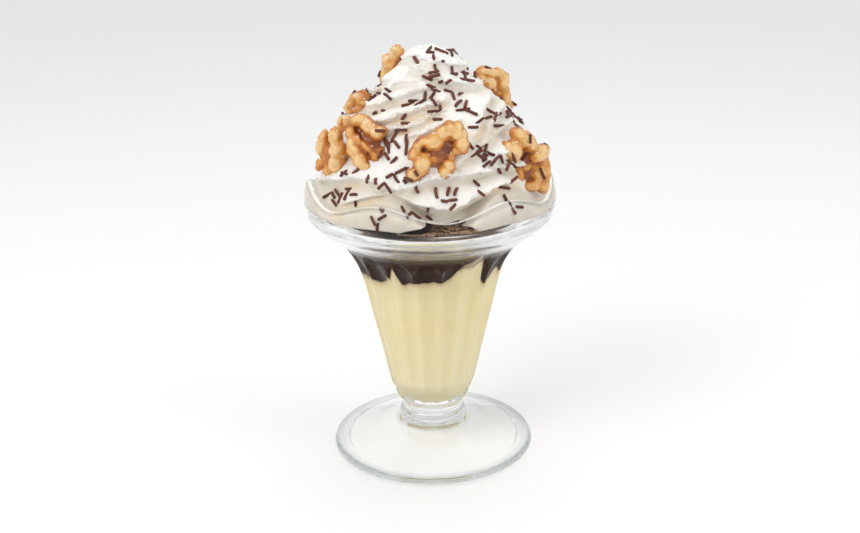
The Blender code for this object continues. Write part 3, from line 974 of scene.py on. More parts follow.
@dataclass
class WhippedCream:
    """Swirled mound of whipped cream, pressed to the glass below, with a space left in front.

    The mound is (height, radius) points in mm, and the space's two sides are (height, bearing) points. The
    syrup spots are bearing, height and size in mm.
    """

    glass: SundaeGlass
    bite: float = 0.20
    foot: float = 118.3
    steps: int = 460
    peak: float = 186.3
    leaves_glass: float = 3.0
    middle: float = 30.0
    free_from: Pair = (126.0, 131.0)
    lip_until: Pair = (127.0, 141.0)
    lean_from: Pair = (128.0, 165.0)
    # Below these heights the cream pressed to the glass gets painted shade, as deep as shade says.
    shade_from: Pair = (133.0, 127.0)
    shade: float = 0.95
    overhang: float = 0.45
    crown_from: Pair = (176.0, 180.0)
    crown_torn: float = 0.45
    mound: tuple[Pair, ...] = (
        (126.0, 50.6), (127.5, 50.0), (131.0, 49.2), (135.5, 47.6), (140.0, 45.4), (145.0, 43.0),
        (150.0, 40.2), (155.0, 36.6), (160.0, 31.9), (164.5, 27.4), (169.0, 23.0), (173.5, 18.9),
        (178.0, 15.0), (182.0, 11.4), (184.7, 7.4), (186.2, 0.0))
    lean: Pair = (1.6, 0.0)
    space_left: tuple[Pair, ...] = (
        (117.0, -16.0), (119.0, -9.5), (120.2, -5.5), (121.6, -2.6), (124.0, -5.5), (126.0, -8.0),
        (129.0, -14.0))
    space_right: tuple[Pair, ...] = (
        (117.0, 21.5), (118.3, 20.2), (120.4, 18.3), (122.0, 20.0), (124.0, 23.0), (126.0, 27.0),
        (129.0, 33.0))
    folds: tuple[Fold, ...] = (
        Fold(((-78.0, 130.5), (-66.0, 134.5), (-46.0, 138.0), (-31.0, 138.0), (-18.0, 135.6), (-11.0, 137.2),
              (0.0, 140.4), (12.0, 141.0), (28.0, 141.8), (50.0, 141.5), (66.0, 139.0)), 2.7, 5.5, 1.7, 0.8),
        Fold(((-52.0, 127.8), (-31.0, 130.9), (-18.0, 132.0), (-6.0, 131.8), (6.0, 131.2), (15.0, 131.9),
              (27.0, 133.4), (40.0, 134.6), (54.0, 136.8)), 2.0, 4.5, 1.9, 0.35),
        Fold(((-50.0, 158.8), (-40.0, 159.0), (-28.0, 162.0), (-19.0, 163.3), (-10.0, 164.9), (6.0, 166.8),
              (16.0, 168.2)), 2.3, 4.0, 1.4, 0.9),
        Fold(((-80.0, 163.0), (-66.0, 163.0), (-52.0, 166.0), (-37.0, 168.4), (-17.0, 170.8), (2.0, 173.0)),
             2.0, 4.0, 1.7, 0.5),
        Fold(((-38.0, 155.2), (-26.0, 158.0), (-17.0, 158.9), (-10.0, 160.8), (0.0, 162.8), (13.0, 164.7)),
             1.7, 2.8, 1.2, 1.0),
        Fold(((-17.0, 155.0), (-4.0, 157.0), (3.0, 158.4), (13.0, 159.8), (24.0, 160.6)), 1.4, 2.8, 1.2, 1.0),
        Fold(((19.0, 150.4), (26.0, 154.6), (34.0, 158.8), (50.0, 163.4), (68.0, 166.4), (84.0, 167.5)),
             2.4, 3.6, 1.6, 0.5),
        Fold(((14.0, 147.0), (27.0, 152.0), (37.0, 155.2), (54.0, 159.2), (72.0, 161.4), (88.0, 162.6)),
             2.0, 3.2, 1.5, 0.4),
        Fold(((8.0, 144.2), (18.0, 146.6), (27.0, 149.7), (38.0, 152.4), (56.0, 155.4), (76.0, 157.0)),
             1.7, 2.8, 1.4, 0.4),
        Fold(((-46.0, 179.4), (-24.0, 179.0), (1.0, 176.4), (22.0, 174.0), (44.0, 172.2), (74.0, 170.6),
              (100.0, 171.0)), 1.5, 3.2, 1.5, 0.7),
        Fold(((-60.0, 171.4), (-42.0, 173.8), (-22.0, 173.8), (-6.0, 172.2), (4.0, 169.8), (12.0, 167.0)),
             1.3, 3.0, 1.3, 0.6),
        Fold(((-95.0, 181.0), (-45.0, 183.0), (5.0, 181.2), (50.0, 179.0), (95.0, 178.5)),
             1.1, 2.6, 1.4, 0.7),
        Fold(((-62.0, 145.0), (-50.0, 146.8), (-38.0, 146.0)), 1.4, 3.2, 1.6, 0.9),
        Fold(((30.0, 145.0), (44.0, 146.5), (60.0, 148.6), (78.0, 150.2)), 1.6, 3.4, 1.6, 0.5))
    back_folds: int = 15
    back_start: float = 74.0
    back_turn: float = 64.6
    back_tiers: tuple[float, ...] = (131.0, 140.0, 149.0, 158.0, 167.0)
    bold: float = 1.45
    syrup_spots: tuple[Triple, ...] = (
        (-22.0, 158.6, 5.5), (-4.0, 161.4, 4.5), (14.0, 166.0, 3.2), (22.0, 168.5, 3.0),
        (-45.0, 133.0, 4.0), (-48.0, 126.0, 5.0), (-30.0, 126.5, 5.0), (37.0, 132.5, 3.2),
        (52.0, 133.4, 3.5), (2.0, 176.0, 2.5), (30.0, 155.0, 3.0), (-58.0, 166.0, 3.0),
        (150.0, 140.0, 5.0), (200.0, 158.0, 5.0), (250.0, 134.0, 5.0), (110.0, 152.0, 4.5))
    syrup_stretch: float = 1.6
    finish: CreamFinish = field(default_factory=CreamFinish)

    def radius(self, height: np.ndarray) -> np.ndarray:
        """Radius of the plain mound in mm: against the glass below, free above."""
        start, start_radius = self.mound[0]
        pressed = self.glass.inner_radius(np.minimum(height, self.glass.rim_height)) + self.bite
        leaving = pressed + (start_radius - pressed) * ease(start - self.leaves_glass, start, height)
        return np.where(height < start, leaving, hermite(self.mound, height))

    def steepness(self, height: np.ndarray, samples: int) -> np.ndarray:
        """How fast the plain mound's radius changes with height, in mm per mm."""
        levels = np.linspace(self.mound[0][0], self.mound[-1][0], samples)
        return np.interp(height, levels, np.gradient(hermite(self.mound, levels), levels))

    def outline(self) -> list[Pair]:
        """Outline from the top down to the sauce, in steps of even length."""
        start, top = self.mound[0][0], self.mound[-1][0]
        fine = np.concatenate((np.linspace(top, start, 1200)[:-1], np.linspace(start, self.foot, 160)))
        radius = self.radius(fine)
        radius[0] = 0.0
        run = np.concatenate(([0.0], np.cumsum(np.hypot(np.diff(radius), np.diff(fine)))))
        even = np.linspace(0.0, run[-1], 200)
        points = list(zip(np.interp(even, run, radius) * MM, np.interp(even, run, fine) * MM))
        return points + [(self.middle * MM, self.foot * MM), (0.0, self.foot * MM)]

    def all_folds(self) -> list[Fold]:
        """The folds seen from the front, and folds of the same kind round the back."""
        dice = random.Random(11)
        folds = list(self.folds)
        for index in range(self.back_folds):
            turn, tier = divmod(index, len(self.back_tiers))
            start = self.back_start + self.back_turn * turn + dice.uniform(0.0, 26.0)
            height = self.back_tiers[tier] + dice.uniform(-2.0, 2.0)
            rise = dice.uniform(0.08, 0.17)
            reach = dice.uniform(58.0, 82.0)
            line = tuple((start + reach * part, height + rise * reach * part + dice.uniform(-0.8, 0.8))
                         for part in (0.0, 0.25, 0.5, 0.75, 1.0))
            folds.append(Fold(line, dice.uniform(1.6, 2.5), dice.uniform(3.2, 5.0), dice.uniform(1.3, 1.9),
                              dice.uniform(0.4, 0.9)))
        return folds

    def folded(self, bearing: np.ndarray, height: np.ndarray, radius: np.ndarray,
               points: np.ndarray) -> tuple[np.ndarray, np.ndarray, np.ndarray]:
        """Raise the folds.

        Args:
            bearing: Bearing of each vertex in degrees.
            height: Height of each vertex in mm.
            radius: Distance of each vertex from the axis in mm.
            points: The vertices in metres.

        Returns:
            For each vertex, the lift in mm, how deep it lies in a hollow, and how torn its crest is.
        """
        stretch = np.sqrt(1.0 + self.steepness(height, 300) ** 2)
        wander = 0.55 * ripple(points, 2.6 * MM, 5.0) + 0.9 * ripple(points, 9.0 * MM, 9.0)
        tear = ripple(points, 1.25 * MM, 21.0)
        coarse = ripple(points, 3.4 * MM, 33.0)
        raised = np.zeros_like(height)
        hollow = np.zeros_like(height)
        torn = np.zeros_like(height)
        for fold in self.all_folds():
            off, inside = fold.crossed(bearing, height, radius, stretch, wander)
            near = np.exp(-((off - 0.5) / 1.7) ** 2) * inside
            uneven = 1.0 + 0.32 * coarse + fold.ragged * near * 0.62 * tear
            raised += (self.bold * fold.lift * fold.shape(off) * inside * uneven).clip(0.0) ** 4
            # The hollow under each fold also carries painted shade in the colour.
            hollow = np.maximum(hollow, fold.trough(off) * inside * min(1.0, fold.lift / 2.0))
            torn = np.maximum(torn, near * fold.ragged)
        return raised ** 0.25 - 1.3 * hollow, hollow, torn

    def space_in_front(self, bearing: np.ndarray, height: np.ndarray) -> np.ndarray:
        """How far, in mm, the cream stands back from the glass in front."""
        left = hermite(self.space_left, height)
        right = hermite(self.space_right, height)
        turned = apart(bearing, 0.0)
        across = ease(left - 1.3, left + 1.7, turned) * ease(right + 1.3, right - 1.7, turned)
        back = 9.4 + 5.0 * ease(122.4, 120.9, height)
        return back * across * ease(130.0, 124.5, height)

    def syrup(self, bearing: np.ndarray, height: np.ndarray, radius: np.ndarray) -> np.ndarray:
        """How much syrup stains the cream: 1 in the middle of a spot and 0 away from all of them.

        Args:
            bearing: Bearing of each vertex in degrees.
            height: Height of each vertex in mm.
            radius: Distance of each vertex from the axis in mm.

        Returns:
            The stain at each vertex.
        """
        stain = np.zeros_like(height)
        for place, level, size in self.syrup_spots:
            across = apart(bearing, place) * radius / DEGREES_IN_RADIAN / self.syrup_stretch
            stain = np.maximum(stain, np.exp(-(np.hypot(across, height - level) / size) ** 2))
        return stain

    def build(self) -> bpy.types.Object:
        """Turn the mound, raise its folds and hollow out the space in front."""
        cream = Lathe.turn("whipped_cream_swirl", self.outline(), self.steps)
        points = rows_of(cream.data)
        bearing, radius = round_axis(points)
        height = points[:, 2] / MM
        radius = radius / MM
        raised, hollow, torn = self.folded(bearing, height, radius, points)
        free = ease(*self.free_from, height) * ease(0.0, 3.5, radius)
        specks = ease(-0.2, 0.4, ripple(points, 4.0 * MM, 41.0))
        torn = np.maximum(torn, self.crown_torn * ease(*self.crown_from, height) * specks)
        lumps = 0.9 * ripple(points, 13.0 * MM, 2.0) + 0.45 * ripple(points, 5.0 * MM, 7.0)
        grain = 0.10 * ripple(points, 1.5 * MM, 15.0)
        swelling = free * (raised - 1.1 + lumps + grain * (0.4 + torn))
        slope = self.steepness(height, 200)
        long = np.sqrt(1.0 + slope * slope)
        outward = swelling / long - self.space_in_front(bearing, height) * ease(32.0, 41.0, radius)
        upward = -slope * swelling / long - self.overhang * free * raised.clip(0.0)
        factor = (radius + outward) / np.maximum(radius, 0.001)
        factor = np.where(radius < 0.5, 1.0, factor)
        lip = self.glass.lift(np.minimum(height, self.glass.rim_height), bearing)
        held = lip * (1.0 - ease(*self.lip_until, height))
        leaning = ease(*self.lean_from, height)
        points[:, 0] = points[:, 0] * factor + self.lean[0] * leaning * MM
        points[:, 1] = points[:, 1] * factor + self.lean[1] * leaning * MM
        above_foot = height > self.foot + 0.2
        points[:, 2] += np.where(above_foot, upward + held, held * ease(25.0, 35.0, radius)) * MM
        points[:, 2] = np.minimum(points[:, 2], self.peak * MM)
        move_points(cream, points)
        # Painted shade: the hollows under the folds, and the cream pressed to the glass in front, darken its
        # colour.
        shaded = self.shade * ease(*self.shade_from, height)
        store(cream, "hollow", np.clip(hollow * free + shaded, 0.0, 1.0))
        store(cream, "torn", np.clip(torn * free + 0.2, 0.0, 1.0))
        store(cream, "syrup", self.syrup(bearing, height, radius) * (0.25 + 0.75 * hollow))
        dress(cream, self.finish.material(), ["whipped_cream"])
        return cream


@dataclass
class CreamCrumbs:
    """Small torn crumbs of cream on the crests of the folds and on the walnuts."""

    on_cream: int = 1500
    on_walnuts: int = 110
    size: Pair = (0.20, 0.72)
    rough: float = 0.55
    least_torn: float = 0.45
    least_upward: float = 0.35
    tear: float = 0.6
    highest: float = 186.2
    # The crumbs are painted whiter than the cream they come from: painted light on the torn crests.
    finish: CreamFinish = CreamFinish("cream_crumb", 0.0, (0.96, 0.945, 0.905))

    def ball(self) -> bpy.types.Mesh:
        """Model one rough crumb of unit size."""
        bpy.ops.object.select_all(action="DESELECT")
        bpy.ops.mesh.primitive_ico_sphere_add(subdivisions=1, radius=1.0, location=ON_AXIS)
        bpy.ops.object.mode_set(mode="EDIT")
        bpy.ops.mesh.select_all(action="SELECT")
        bpy.ops.transform.vertex_random(offset=self.rough, seed=4)
        bpy.ops.object.mode_set(mode="OBJECT")
        return mesh_alone(bpy.context.object)

    @staticmethod
    def spots(piece: bpy.types.Object, chance: np.ndarray, count: int,
              dice: np.random.Generator) -> np.ndarray:
        """Pick vertices of a piece.

        Args:
            piece: Piece that the crumbs lie on.
            chance: How likely each vertex is, in any unit.
            count: Number of crumbs.
            dice: Source of chance, seeded.

        Returns:
            Places of the crumbs, one row each.
        """
        points = rows_of(piece.data)
        picked = dice.choice(len(points), size=count, replace=False, p=chance / chance.sum())
        return points[picked]

    def build(self, cream: bpy.types.Object, walnuts: Sequence[bpy.types.Object]) -> bpy.types.Object:
        """Scatter the crumbs and join them into one piece.

        Args:
            cream: The mound.
            walnuts: The kernel pieces.

        Returns:
            The joined crumbs.
        """
        dice = np.random.default_rng(6)
        torn = np.empty(len(cream.data.vertices), dtype=np.float32)
        cream.data.attributes["torn"].data.foreach_get("value", torn)
        level = rows_of(cream.data)[:, 2] / MM
        chance = np.clip(torn.astype(float) - self.least_torn, 0.0, None) * ease(128.0, 131.0, level)
        places = [self.spots(cream, chance, self.on_cream, dice)]
        for kernel in walnuts:
            upward = np.clip(rows_of(kernel.data, "normal")[:, 2] - self.least_upward, 0.0, None)
            places.append(self.spots(kernel, upward, self.on_walnuts // len(walnuts), dice))
        middles = np.concatenate(places)
        ball = self.ball()
        unit = rows_of(ball)
        faces = np.array([face.vertices for face in ball.polygons])
        halves = dice.uniform(*self.size, (len(middles), 1, 3)) * MM
        turns = dice.permuted(np.tile(np.arange(3), (len(middles), 1)), axis=1)
        copies = np.broadcast_to(unit, (len(middles), *unit.shape))
        turned = np.take_along_axis(copies, turns[:, None, :], axis=2)
        # A swap of two axes turns a crumb inside out, so such a crumb is mirrored back along Z.
        hand = np.array([1.0 if (row[0] + 1) % 3 == row[1] else -1.0 for row in turns])[:, None]
        turned = turned * np.stack([np.ones_like(hand), np.ones_like(hand), hand], axis=2)
        shaped = middles[:, None, :] + turned * halves
        shaped[:, :, 2] = np.minimum(shaped[:, :, 2], self.highest * MM)
        all_faces = faces[None] + (np.arange(len(middles)) * len(unit))[:, None, None]
        crumbs = joined("cream_crumbs", shaped.reshape(-1, 3), all_faces.reshape(-1, 3).tolist())
        store(crumbs, "torn", np.full(len(crumbs.data.vertices), self.tear))
        dress(crumbs, self.finish.material(), [])
        bpy.data.meshes.remove(ball)
        return crumbs


# ---------- Walnuts ----------


class Cut(Enum):
    """What shows of a kernel piece, as the share of pale flesh on what lies between its lobes."""

    OPEN_HALF = 0.06
    SPLIT_HALF = 0.30
    SHARD = 0.42


@dataclass(frozen=True)
class Lobe:
    """One rounded lobe of a kernel: place, half-sizes and turn, seen from the piece's shown side.

    Lengths are in mm to the right, up and out of the piece's middle, and the turn is in degrees. The
    paleness is 1 on bare flesh and 0 on brown skin.
    """

    right: float
    up: float
    out: float
    long: float
    wide: float
    turn: float = 0.0
    pale: float = 1.0
    deep: float = 0.0

    def matrix(self) -> Matrix:
        """Turn a unit ball into the lobe."""
        deep = self.deep or 0.55 * min(self.long, self.wide) + 0.8
        swell = 1.0 if self.deep else 1.12
        place = Matrix.Translation(Vector((self.right, self.up, self.out)) * MM)
        halves = Matrix.Diagonal((self.long * swell * MM, self.wide * swell * MM, deep * MM, 1.0))
        return place @ Matrix.Rotation(math.radians(self.turn), 4, "Z") @ halves

    def skirt(self) -> "Lobe":
        """The lower, wider flesh that joins the lobe to its neighbours."""
        deep = 0.62 * min(self.long, self.wide) + 1.2
        return Lobe(self.right, self.up, self.out - 1.3, self.long * 1.16 + 0.5, self.wide * 1.16 + 0.5,
                    self.turn, self.pale, deep)

    def mirrored(self) -> "Lobe":
        """The same lobe on a piece of the other hand."""
        return Lobe(-self.right, self.up, self.out, self.long, self.wide, -self.turn, self.pale, self.deep)


@dataclass
class WalnutPiece:
    """One piece of kernel: rounded lobes fused together on a floor of brown skin."""

    node: str
    facing: float
    rise: float
    cut: Cut
    seed: int
    floor: Lobe
    lobes: tuple[Lobe, ...]
    shift: Triple = (0.0, 0.0, 0.0)
    voxel: float = 0.38
    pillow: float = 5.6
    back_tone: float = 0.50

    def matrix(self) -> Matrix:
        """Place of the piece: X to the right, Y up and Z out of its shown side."""
        low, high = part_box(self.node)
        centre = (Vector(low) + Vector(high)) * 0.5 + Vector(self.shift) * MM
        turn = math.radians(self.facing)
        rise = math.radians(self.rise)
        facing = Vector((math.sin(turn) * math.cos(rise), -math.cos(turn) * math.cos(rise), math.sin(rise)))
        level = Vector((math.cos(turn), math.sin(turn), 0.0))
        return Matrix.Translation(centre) @ Matrix((level, facing.cross(level), facing)).transposed().to_4x4()

    def build(self, ball: bpy.types.Mesh, material: bpy.types.Material) -> bpy.types.Object:
        """Fuse the lobes into one kernel and wrinkle its skin.

        Args:
            ball: Unit ball that every lobe is a copy of.
            material: Finish shared by all the walnuts.

        Returns:
            The finished piece.
        """
        bpy.ops.object.select_all(action="DESELECT")
        for lobe in (self.floor, *self.lobes, *(lobe.skirt() for lobe in self.lobes)):
            copy = bpy.data.objects.new(self.node + "_lobe", ball.copy())
            copy.data.transform(lobe.matrix())
            bpy.context.scene.collection.objects.link(copy)
            copy.select_set(True)
            bpy.context.view_layer.objects.active = copy
        bpy.ops.object.join()
        kernel = bpy.context.object
        kernel.name = self.node + "_kernel"
        kernel.data.name = kernel.name
        fuse = kernel.modifiers.new("fuse", "REMESH")
        fuse.mode = "VOXEL"
        fuse.voxel_size = self.voxel * MM
        soften = kernel.modifiers.new("soften", "SMOOTH")
        soften.factor = 0.5
        soften.iterations = 14
        bpy.ops.object.modifier_apply(modifier="fuse")
        bpy.ops.object.modifier_apply(modifier="soften")
        self.wrinkle(kernel)
        kernel.data.transform(self.matrix())
        kernel.data.update()
        dress(kernel, material, [self.node])
        return kernel

    def wrinkle(self, kernel: bpy.types.Object) -> None:
        """Crease the skin between small pillows, and store how pale each point is.

        Args:
            kernel: The fused mesh, about its own middle.
        """
        points = rows_of(kernel.data)
        normals = rows_of(kernel.data, "normal")
        shift = self.seed * 1.7
        drifts = [ripple(points, 3.0 * MM, shift + part) for part in (0.0, 5.0, 9.0)]
        warp = 0.9 * MM * np.stack(drifts, axis=1)
        pillows = self.pillows(points + warp, self.pillow * MM)
        lumps = ripple(points + warp, 2.7 * MM, shift + 4.0)
        fine = ripple(points, 1.1 * MM, shift + 2.0)
        relief = (pillows - 0.75) * 0.42 + lumps * 0.52 + fine * 0.14
        move_points(kernel, points + normals * relief[:, None] * MM)
        near = []
        for lobe in self.lobes:
            turned = (np.c_[points, np.ones(len(points))] @ np.array(lobe.matrix().inverted()).T)[:, :3]
            across = np.hypot(turned[:, 0], turned[:, 1])
            near.append(np.hypot(across, np.clip(-0.6 - turned[:, 2], 0.0, None)))
        near = np.array(near)
        tones = np.array([lobe.pale for lobe in self.lobes])[np.argmin(near, axis=0)]
        on_lobe = ease(1.45, 0.45, np.min(near, axis=0))
        back = ease(0.5, -2.5, points[:, 2] / MM)
        between = self.cut.value + (self.back_tone - self.cut.value) * back
        pale = between + (tones - between) * on_lobe + 0.16 * (pillows - 0.8) + 0.16 * lumps
        store(kernel, "lobe", np.clip(pale, 0.0, 1.0))

    @staticmethod
    def pillows(points: np.ndarray, grain: float) -> np.ndarray:
        """Height of cell-like pillows: 1 on a pillow and 0 in the creases between them."""
        heights = []
        for point in (points / grain).tolist():
            nearest = noise.voronoi(Vector(point))[0]
            heights.append(nearest[1] - nearest[0])
        return np.sqrt(np.clip(np.array(heights) / 0.45, 0.0, 1.0))


def lobes(*rows: tuple[float, ...]) -> tuple[Lobe, ...]:
    """Make the lobes of one kernel; each row is a lobe's fields, in their order."""
    return tuple(Lobe(*row) for row in rows)


def mirrored(half: Sequence[Lobe]) -> tuple[Lobe, ...]:
    """The lobes of a kernel of the other hand."""
    return tuple(lobe.mirrored() for lobe in half)


FRONT_HALF = lobes(
    (-1.5, 3.9, 3.0, 3.6, 2.8), (2.2, 7.1, 2.8, 2.6, 2.6), (5.1, 8.5, 2.2, 2.5, 2.9),
    (8.2, 8.4, 1.6, 2.2, 3.0), (7.6, 6.0, 2.6, 2.0, 1.8), (11.0, 6.4, 0.4, 1.5, 1.9),
    (9.9, 2.2, 2.0, 2.6, 3.2), (7.9, 0.0, 0.6, 2.0, 1.5, 0.0, 0.7),
    (-8.2, 1.7, 0.8, 4.8, 1.6, 54.0, 0.75), (-5.5, 4.4, 1.2, 1.8, 1.4),
    (-6.5, -4.9, 2.6, 2.9, 4.2, -14.0), (-9.9, -9.0, 1.2, 2.7, 2.5),
    (-7.4, -10.6, 0.2, 2.7, 1.3, 0.0, 0.35), (4.6, -5.8, 1.6, 2.1, 2.1), (2.4, -8.6, 0.8, 2.6, 2.2),
    (5.4, -2.4, 0.2, 1.4, 1.6, 0.0, 0.55), (-2.0, -2.8, -0.2, 3.6, 1.3, -12.0, 0.45))

LEFT_HALF = lobes(
    (-2.8, 10.0, 1.4, 3.9, 1.9, 10.0), (2.2, 7.3, 2.6, 3.7, 2.5, -30.0),
    (5.8, 4.7, 2.6, 2.7, 2.1, -35.0), (7.6, 6.3, 1.2, 1.6, 1.4), (-6.0, 4.2, 1.4, 1.8, 2.3, 0.0, 0.8),
    (-2.7, 2.0, 1.6, 3.0, 1.5, -45.0, 0.6), (1.5, -1.0, 1.3, 3.4, 1.3, -42.0, 0.65),
    (5.6, -4.7, 0.6, 2.5, 1.4, -35.0, 0.5), (-4.8, -0.2, 2.0, 1.9, 2.5),
    (-3.0, -3.1, 2.8, 3.1, 2.4, -52.0), (-0.6, -6.4, 2.4, 3.6, 2.5, -52.0), (2.0, -9.4, 1.2, 2.1, 1.7),
    (8.2, -2.7, -0.4, 1.6, 2.1, 0.0, 0.3))

RIGHT_HALF = lobes(
    (-4.0, 12.4, 1.5, 2.6, 2.0), (-0.9, 9.3, 3.0, 3.8, 2.8, -25.0), (1.8, 6.9, 2.8, 2.2, 2.6),
    (-7.2, 4.9, 2.5, 3.3, 4.4, -10.0), (6.3, 4.5, 3.0, 3.5, 1.8), (4.9, 1.8, 3.6, 3.3, 2.3),
    (8.6, 2.6, 2.0, 1.8, 2.6), (9.4, -4.1, 1.0, 2.1, 6.0, 6.0, 0.7),
    (-0.2, -2.4, 0.5, 1.6, 1.5, 0.0, 0.7), (5.4, -5.3, 2.0, 2.9, 3.2, 0.0, 0.8),
    (-4.0, -5.3, 0.6, 2.3, 3.0, 0.0, 0.45), (1.4, -10.8, 1.5, 3.5, 2.1, 0.0, 0.75),
    (7.6, -11.6, 2.0, 2.6, 2.4, 0.0, 0.85), (4.0, -9.2, 2.2, 1.8, 1.6, 0.0, 0.7),
    (-9.8, 6.5, 1.0, 1.4, 3.0))

SIDE_HALF = lobes(
    (-4.7, 3.0, 1.0, 1.9, 4.8, -12.0), (2.2, 6.4, 1.8, 2.5, 3.4), (4.0, 1.0, 2.2, 3.2, 3.4),
    (3.4, -4.9, 1.8, 3.2, 3.4), (-0.8, -8.0, 0.4, 3.0, 2.0, 20.0, 0.7),
    (-6.4, -6.4, -0.4, 1.4, 2.8, -20.0, 0.55))

SMALL_PIECE = lobes(
    (-1.3, 2.1, 1.0, 1.5, 2.3, 0.0, 0.75), (0.9, 3.7, 0.4, 1.4, 1.0),
    (2.6, 2.7, 0.8, 1.6, 1.8, 0.0, 0.75), (4.4, 1.5, 0.0, 1.2, 0.9),
    (-2.1, -0.2, 1.0, 1.7, 1.6, 0.0, 0.8), (-4.0, -1.4, 0.4, 1.5, 1.4, 0.0, 0.85),
    (-3.0, -2.7, 0.2, 1.2, 1.1), (-0.5, -2.6, 0.2, 1.8, 2.1, 0.0, 0.42),
    (1.8, -4.2, -0.4, 1.6, 1.1, 0.0, 0.3))

CHIP = lobes(
    (-1.5, -0.5, 0.4, 1.0, 3.0, 6.0), (1.6, 1.2, 0.5, 1.6, 1.8))

CROWN_SHARD = lobes(
    (2.6, 5.8, 1.0, 2.3, 2.2), (0.7, 6.1, 0.6, 1.4, 1.6), (0.7, 3.6, 1.0, 2.4, 1.8),
    (-2.2, 2.4, 0.8, 1.7, 1.8), (-0.4, 0.0, 1.4, 3.1, 3.0, 0.0, 0.78),
    (-0.4, -1.9, 1.2, 2.4, 1.9, 0.0, 0.7), (2.7, 0.0, -0.8, 1.1, 2.8, -25.0, 0.15),
    (1.3, -2.8, -1.0, 1.3, 1.3, 0.0, 0.12), (-3.6, -3.1, 0.0, 1.1, 2.4),
    (-1.8, -4.4, 0.2, 1.3, 1.6, 0.0, 0.75), (-3.6, -5.8, 0.2, 1.4, 1.3, 0.0, 0.7),
    (-4.4, -7.2, 0.0, 0.8, 0.9))

CROWN_CURL = lobes(
    (-5.1, 7.3, 0.8, 2.5, 1.7), (-1.8, 6.3, 1.5, 2.7, 1.6, -12.0), (1.0, 6.0, 1.8, 2.4, 1.7),
    (2.8, 4.5, 1.6, 1.8, 1.9), (5.0, 3.7, 0.6, 1.2, 1.6), (3.8, 1.2, 1.4, 1.8, 2.7),
    (5.2, 0.3, 0.2, 0.8, 2.8, 0.0, 0.7), (4.4, -1.8, 1.0, 1.6, 1.9, 0.0, 0.75),
    (4.7, -4.2, 0.6, 1.6, 2.4, 0.0, 0.85), (5.1, -6.9, 0.4, 2.1, 1.5, -35.0, 0.8),
    (6.6, -8.2, 0.0, 1.0, 1.8, 0.0, 0.6), (-2.8, 2.1, 0.8, 3.2, 2.4, -30.0),
    (-6.2, 4.5, 0.0, 1.9, 1.1, -35.0), (-0.7, 0.0, 0.6, 0.9, 2.3),
    (-4.3, 1.2, -0.4, 1.1, 1.8, 0.0, 0.5), (1.9, -3.0, 0.0, 1.2, 0.8, 0.0, 0.6))


@dataclass
class Walnuts:
    """All the kernel pieces on the cream."""

    pieces: tuple[WalnutPiece, ...] = (
        WalnutPiece("walnut_front", 8.0, 12.0, Cut.OPEN_HALF, 3,
                    Lobe(0.0, -0.8, -3.0, 10.5, 8.0, 36.0, 0.1, 3.6), FRONT_HALF, (0.6, -1.2, 0.6)),
        WalnutPiece("walnut_right", 30.0, 6.0, Cut.OPEN_HALF, 5,
                    Lobe(1.1, -1.0, -3.2, 9.2, 12.0, 0.0, 0.1, 4.6), RIGHT_HALF, (-1.8, 0.0, 0.0)),
        WalnutPiece("walnut_upper_left", -20.0, 20.0, Cut.OPEN_HALF, 8,
                    Lobe(0.6, 0.0, -3.0, 7.6, 10.2, 10.0, 0.1, 3.8), LEFT_HALF, (-0.6, 0.0, 0.8)),
        WalnutPiece("walnut_left", -30.0, 8.0, Cut.SPLIT_HALF, 9,
                    Lobe(-0.8, -1.0, -2.2, 6.4, 8.4, -12.0, 0.2, 2.8), SIDE_HALF),
        WalnutPiece("walnut_left_small", -32.0, 12.0, Cut.SHARD, 14,
                    Lobe(0.2, -0.6, -1.4, 3.4, 4.2, 0.0, 0.3, 2.0), SMALL_PIECE),
        WalnutPiece("walnut_left_chip", -35.0, 12.0, Cut.SHARD, 15,
                    Lobe(0.1, -0.2, -0.6, 1.7, 2.7, 0.0, 0.5, 1.1), CHIP,
                    (2.0, 0.0, 0.0)),
        WalnutPiece("walnut_crown_left", -16.0, 10.0, Cut.SHARD, 17,
                    Lobe(0.0, 0.0, -1.6, 3.0, 5.6, -30.0, 0.3, 2.0), CROWN_SHARD),
        WalnutPiece("walnut_crown_right", 18.0, 10.0, Cut.SPLIT_HALF, 21,
                    Lobe(0.8, 1.2, -2.0, 5.0, 4.8, -40.0, 0.3, 2.2), CROWN_CURL),
        WalnutPiece("walnut_back", 158.0, 14.0, Cut.OPEN_HALF, 25,
                    Lobe(0.0, -0.8, -3.0, 10.0, 7.8, -36.0, 0.1, 3.6), mirrored(FRONT_HALF), (0.8, 1.8, 0.5)),
        WalnutPiece("walnut_back_left", -142.0, 20.0, Cut.OPEN_HALF, 27,
                    Lobe(-0.6, 0.0, -3.0, 7.6, 9.8, -10.0, 0.1, 3.8), mirrored(LEFT_HALF), (-1.2, 1.5, 0.6)))
    finish: KernelFinish = field(default_factory=KernelFinish)

    @staticmethod
    def ball() -> bpy.types.Mesh:
        """Model the unit ball that the lobes are copied from."""
        bpy.ops.object.select_all(action="DESELECT")
        bpy.ops.mesh.primitive_ico_sphere_add(subdivisions=4, radius=1.0, location=ON_AXIS)
        return mesh_alone(bpy.context.object)

    def build(self) -> list[bpy.types.Object]:
        """Build every walnut piece."""
        material = self.finish.material()
        ball = self.ball()
        built = [piece.build(ball, material) for piece in self.pieces]
        bpy.data.meshes.remove(ball)
        return built


# ---------- Sprinkles ----------


@dataclass(frozen=True)
class Sowing:
    """A patch where sprinkles fell: its middle, how far it spreads, and how many lie there."""

    bearing: float
    height: float
    wide: float
    tall: float
    count: int


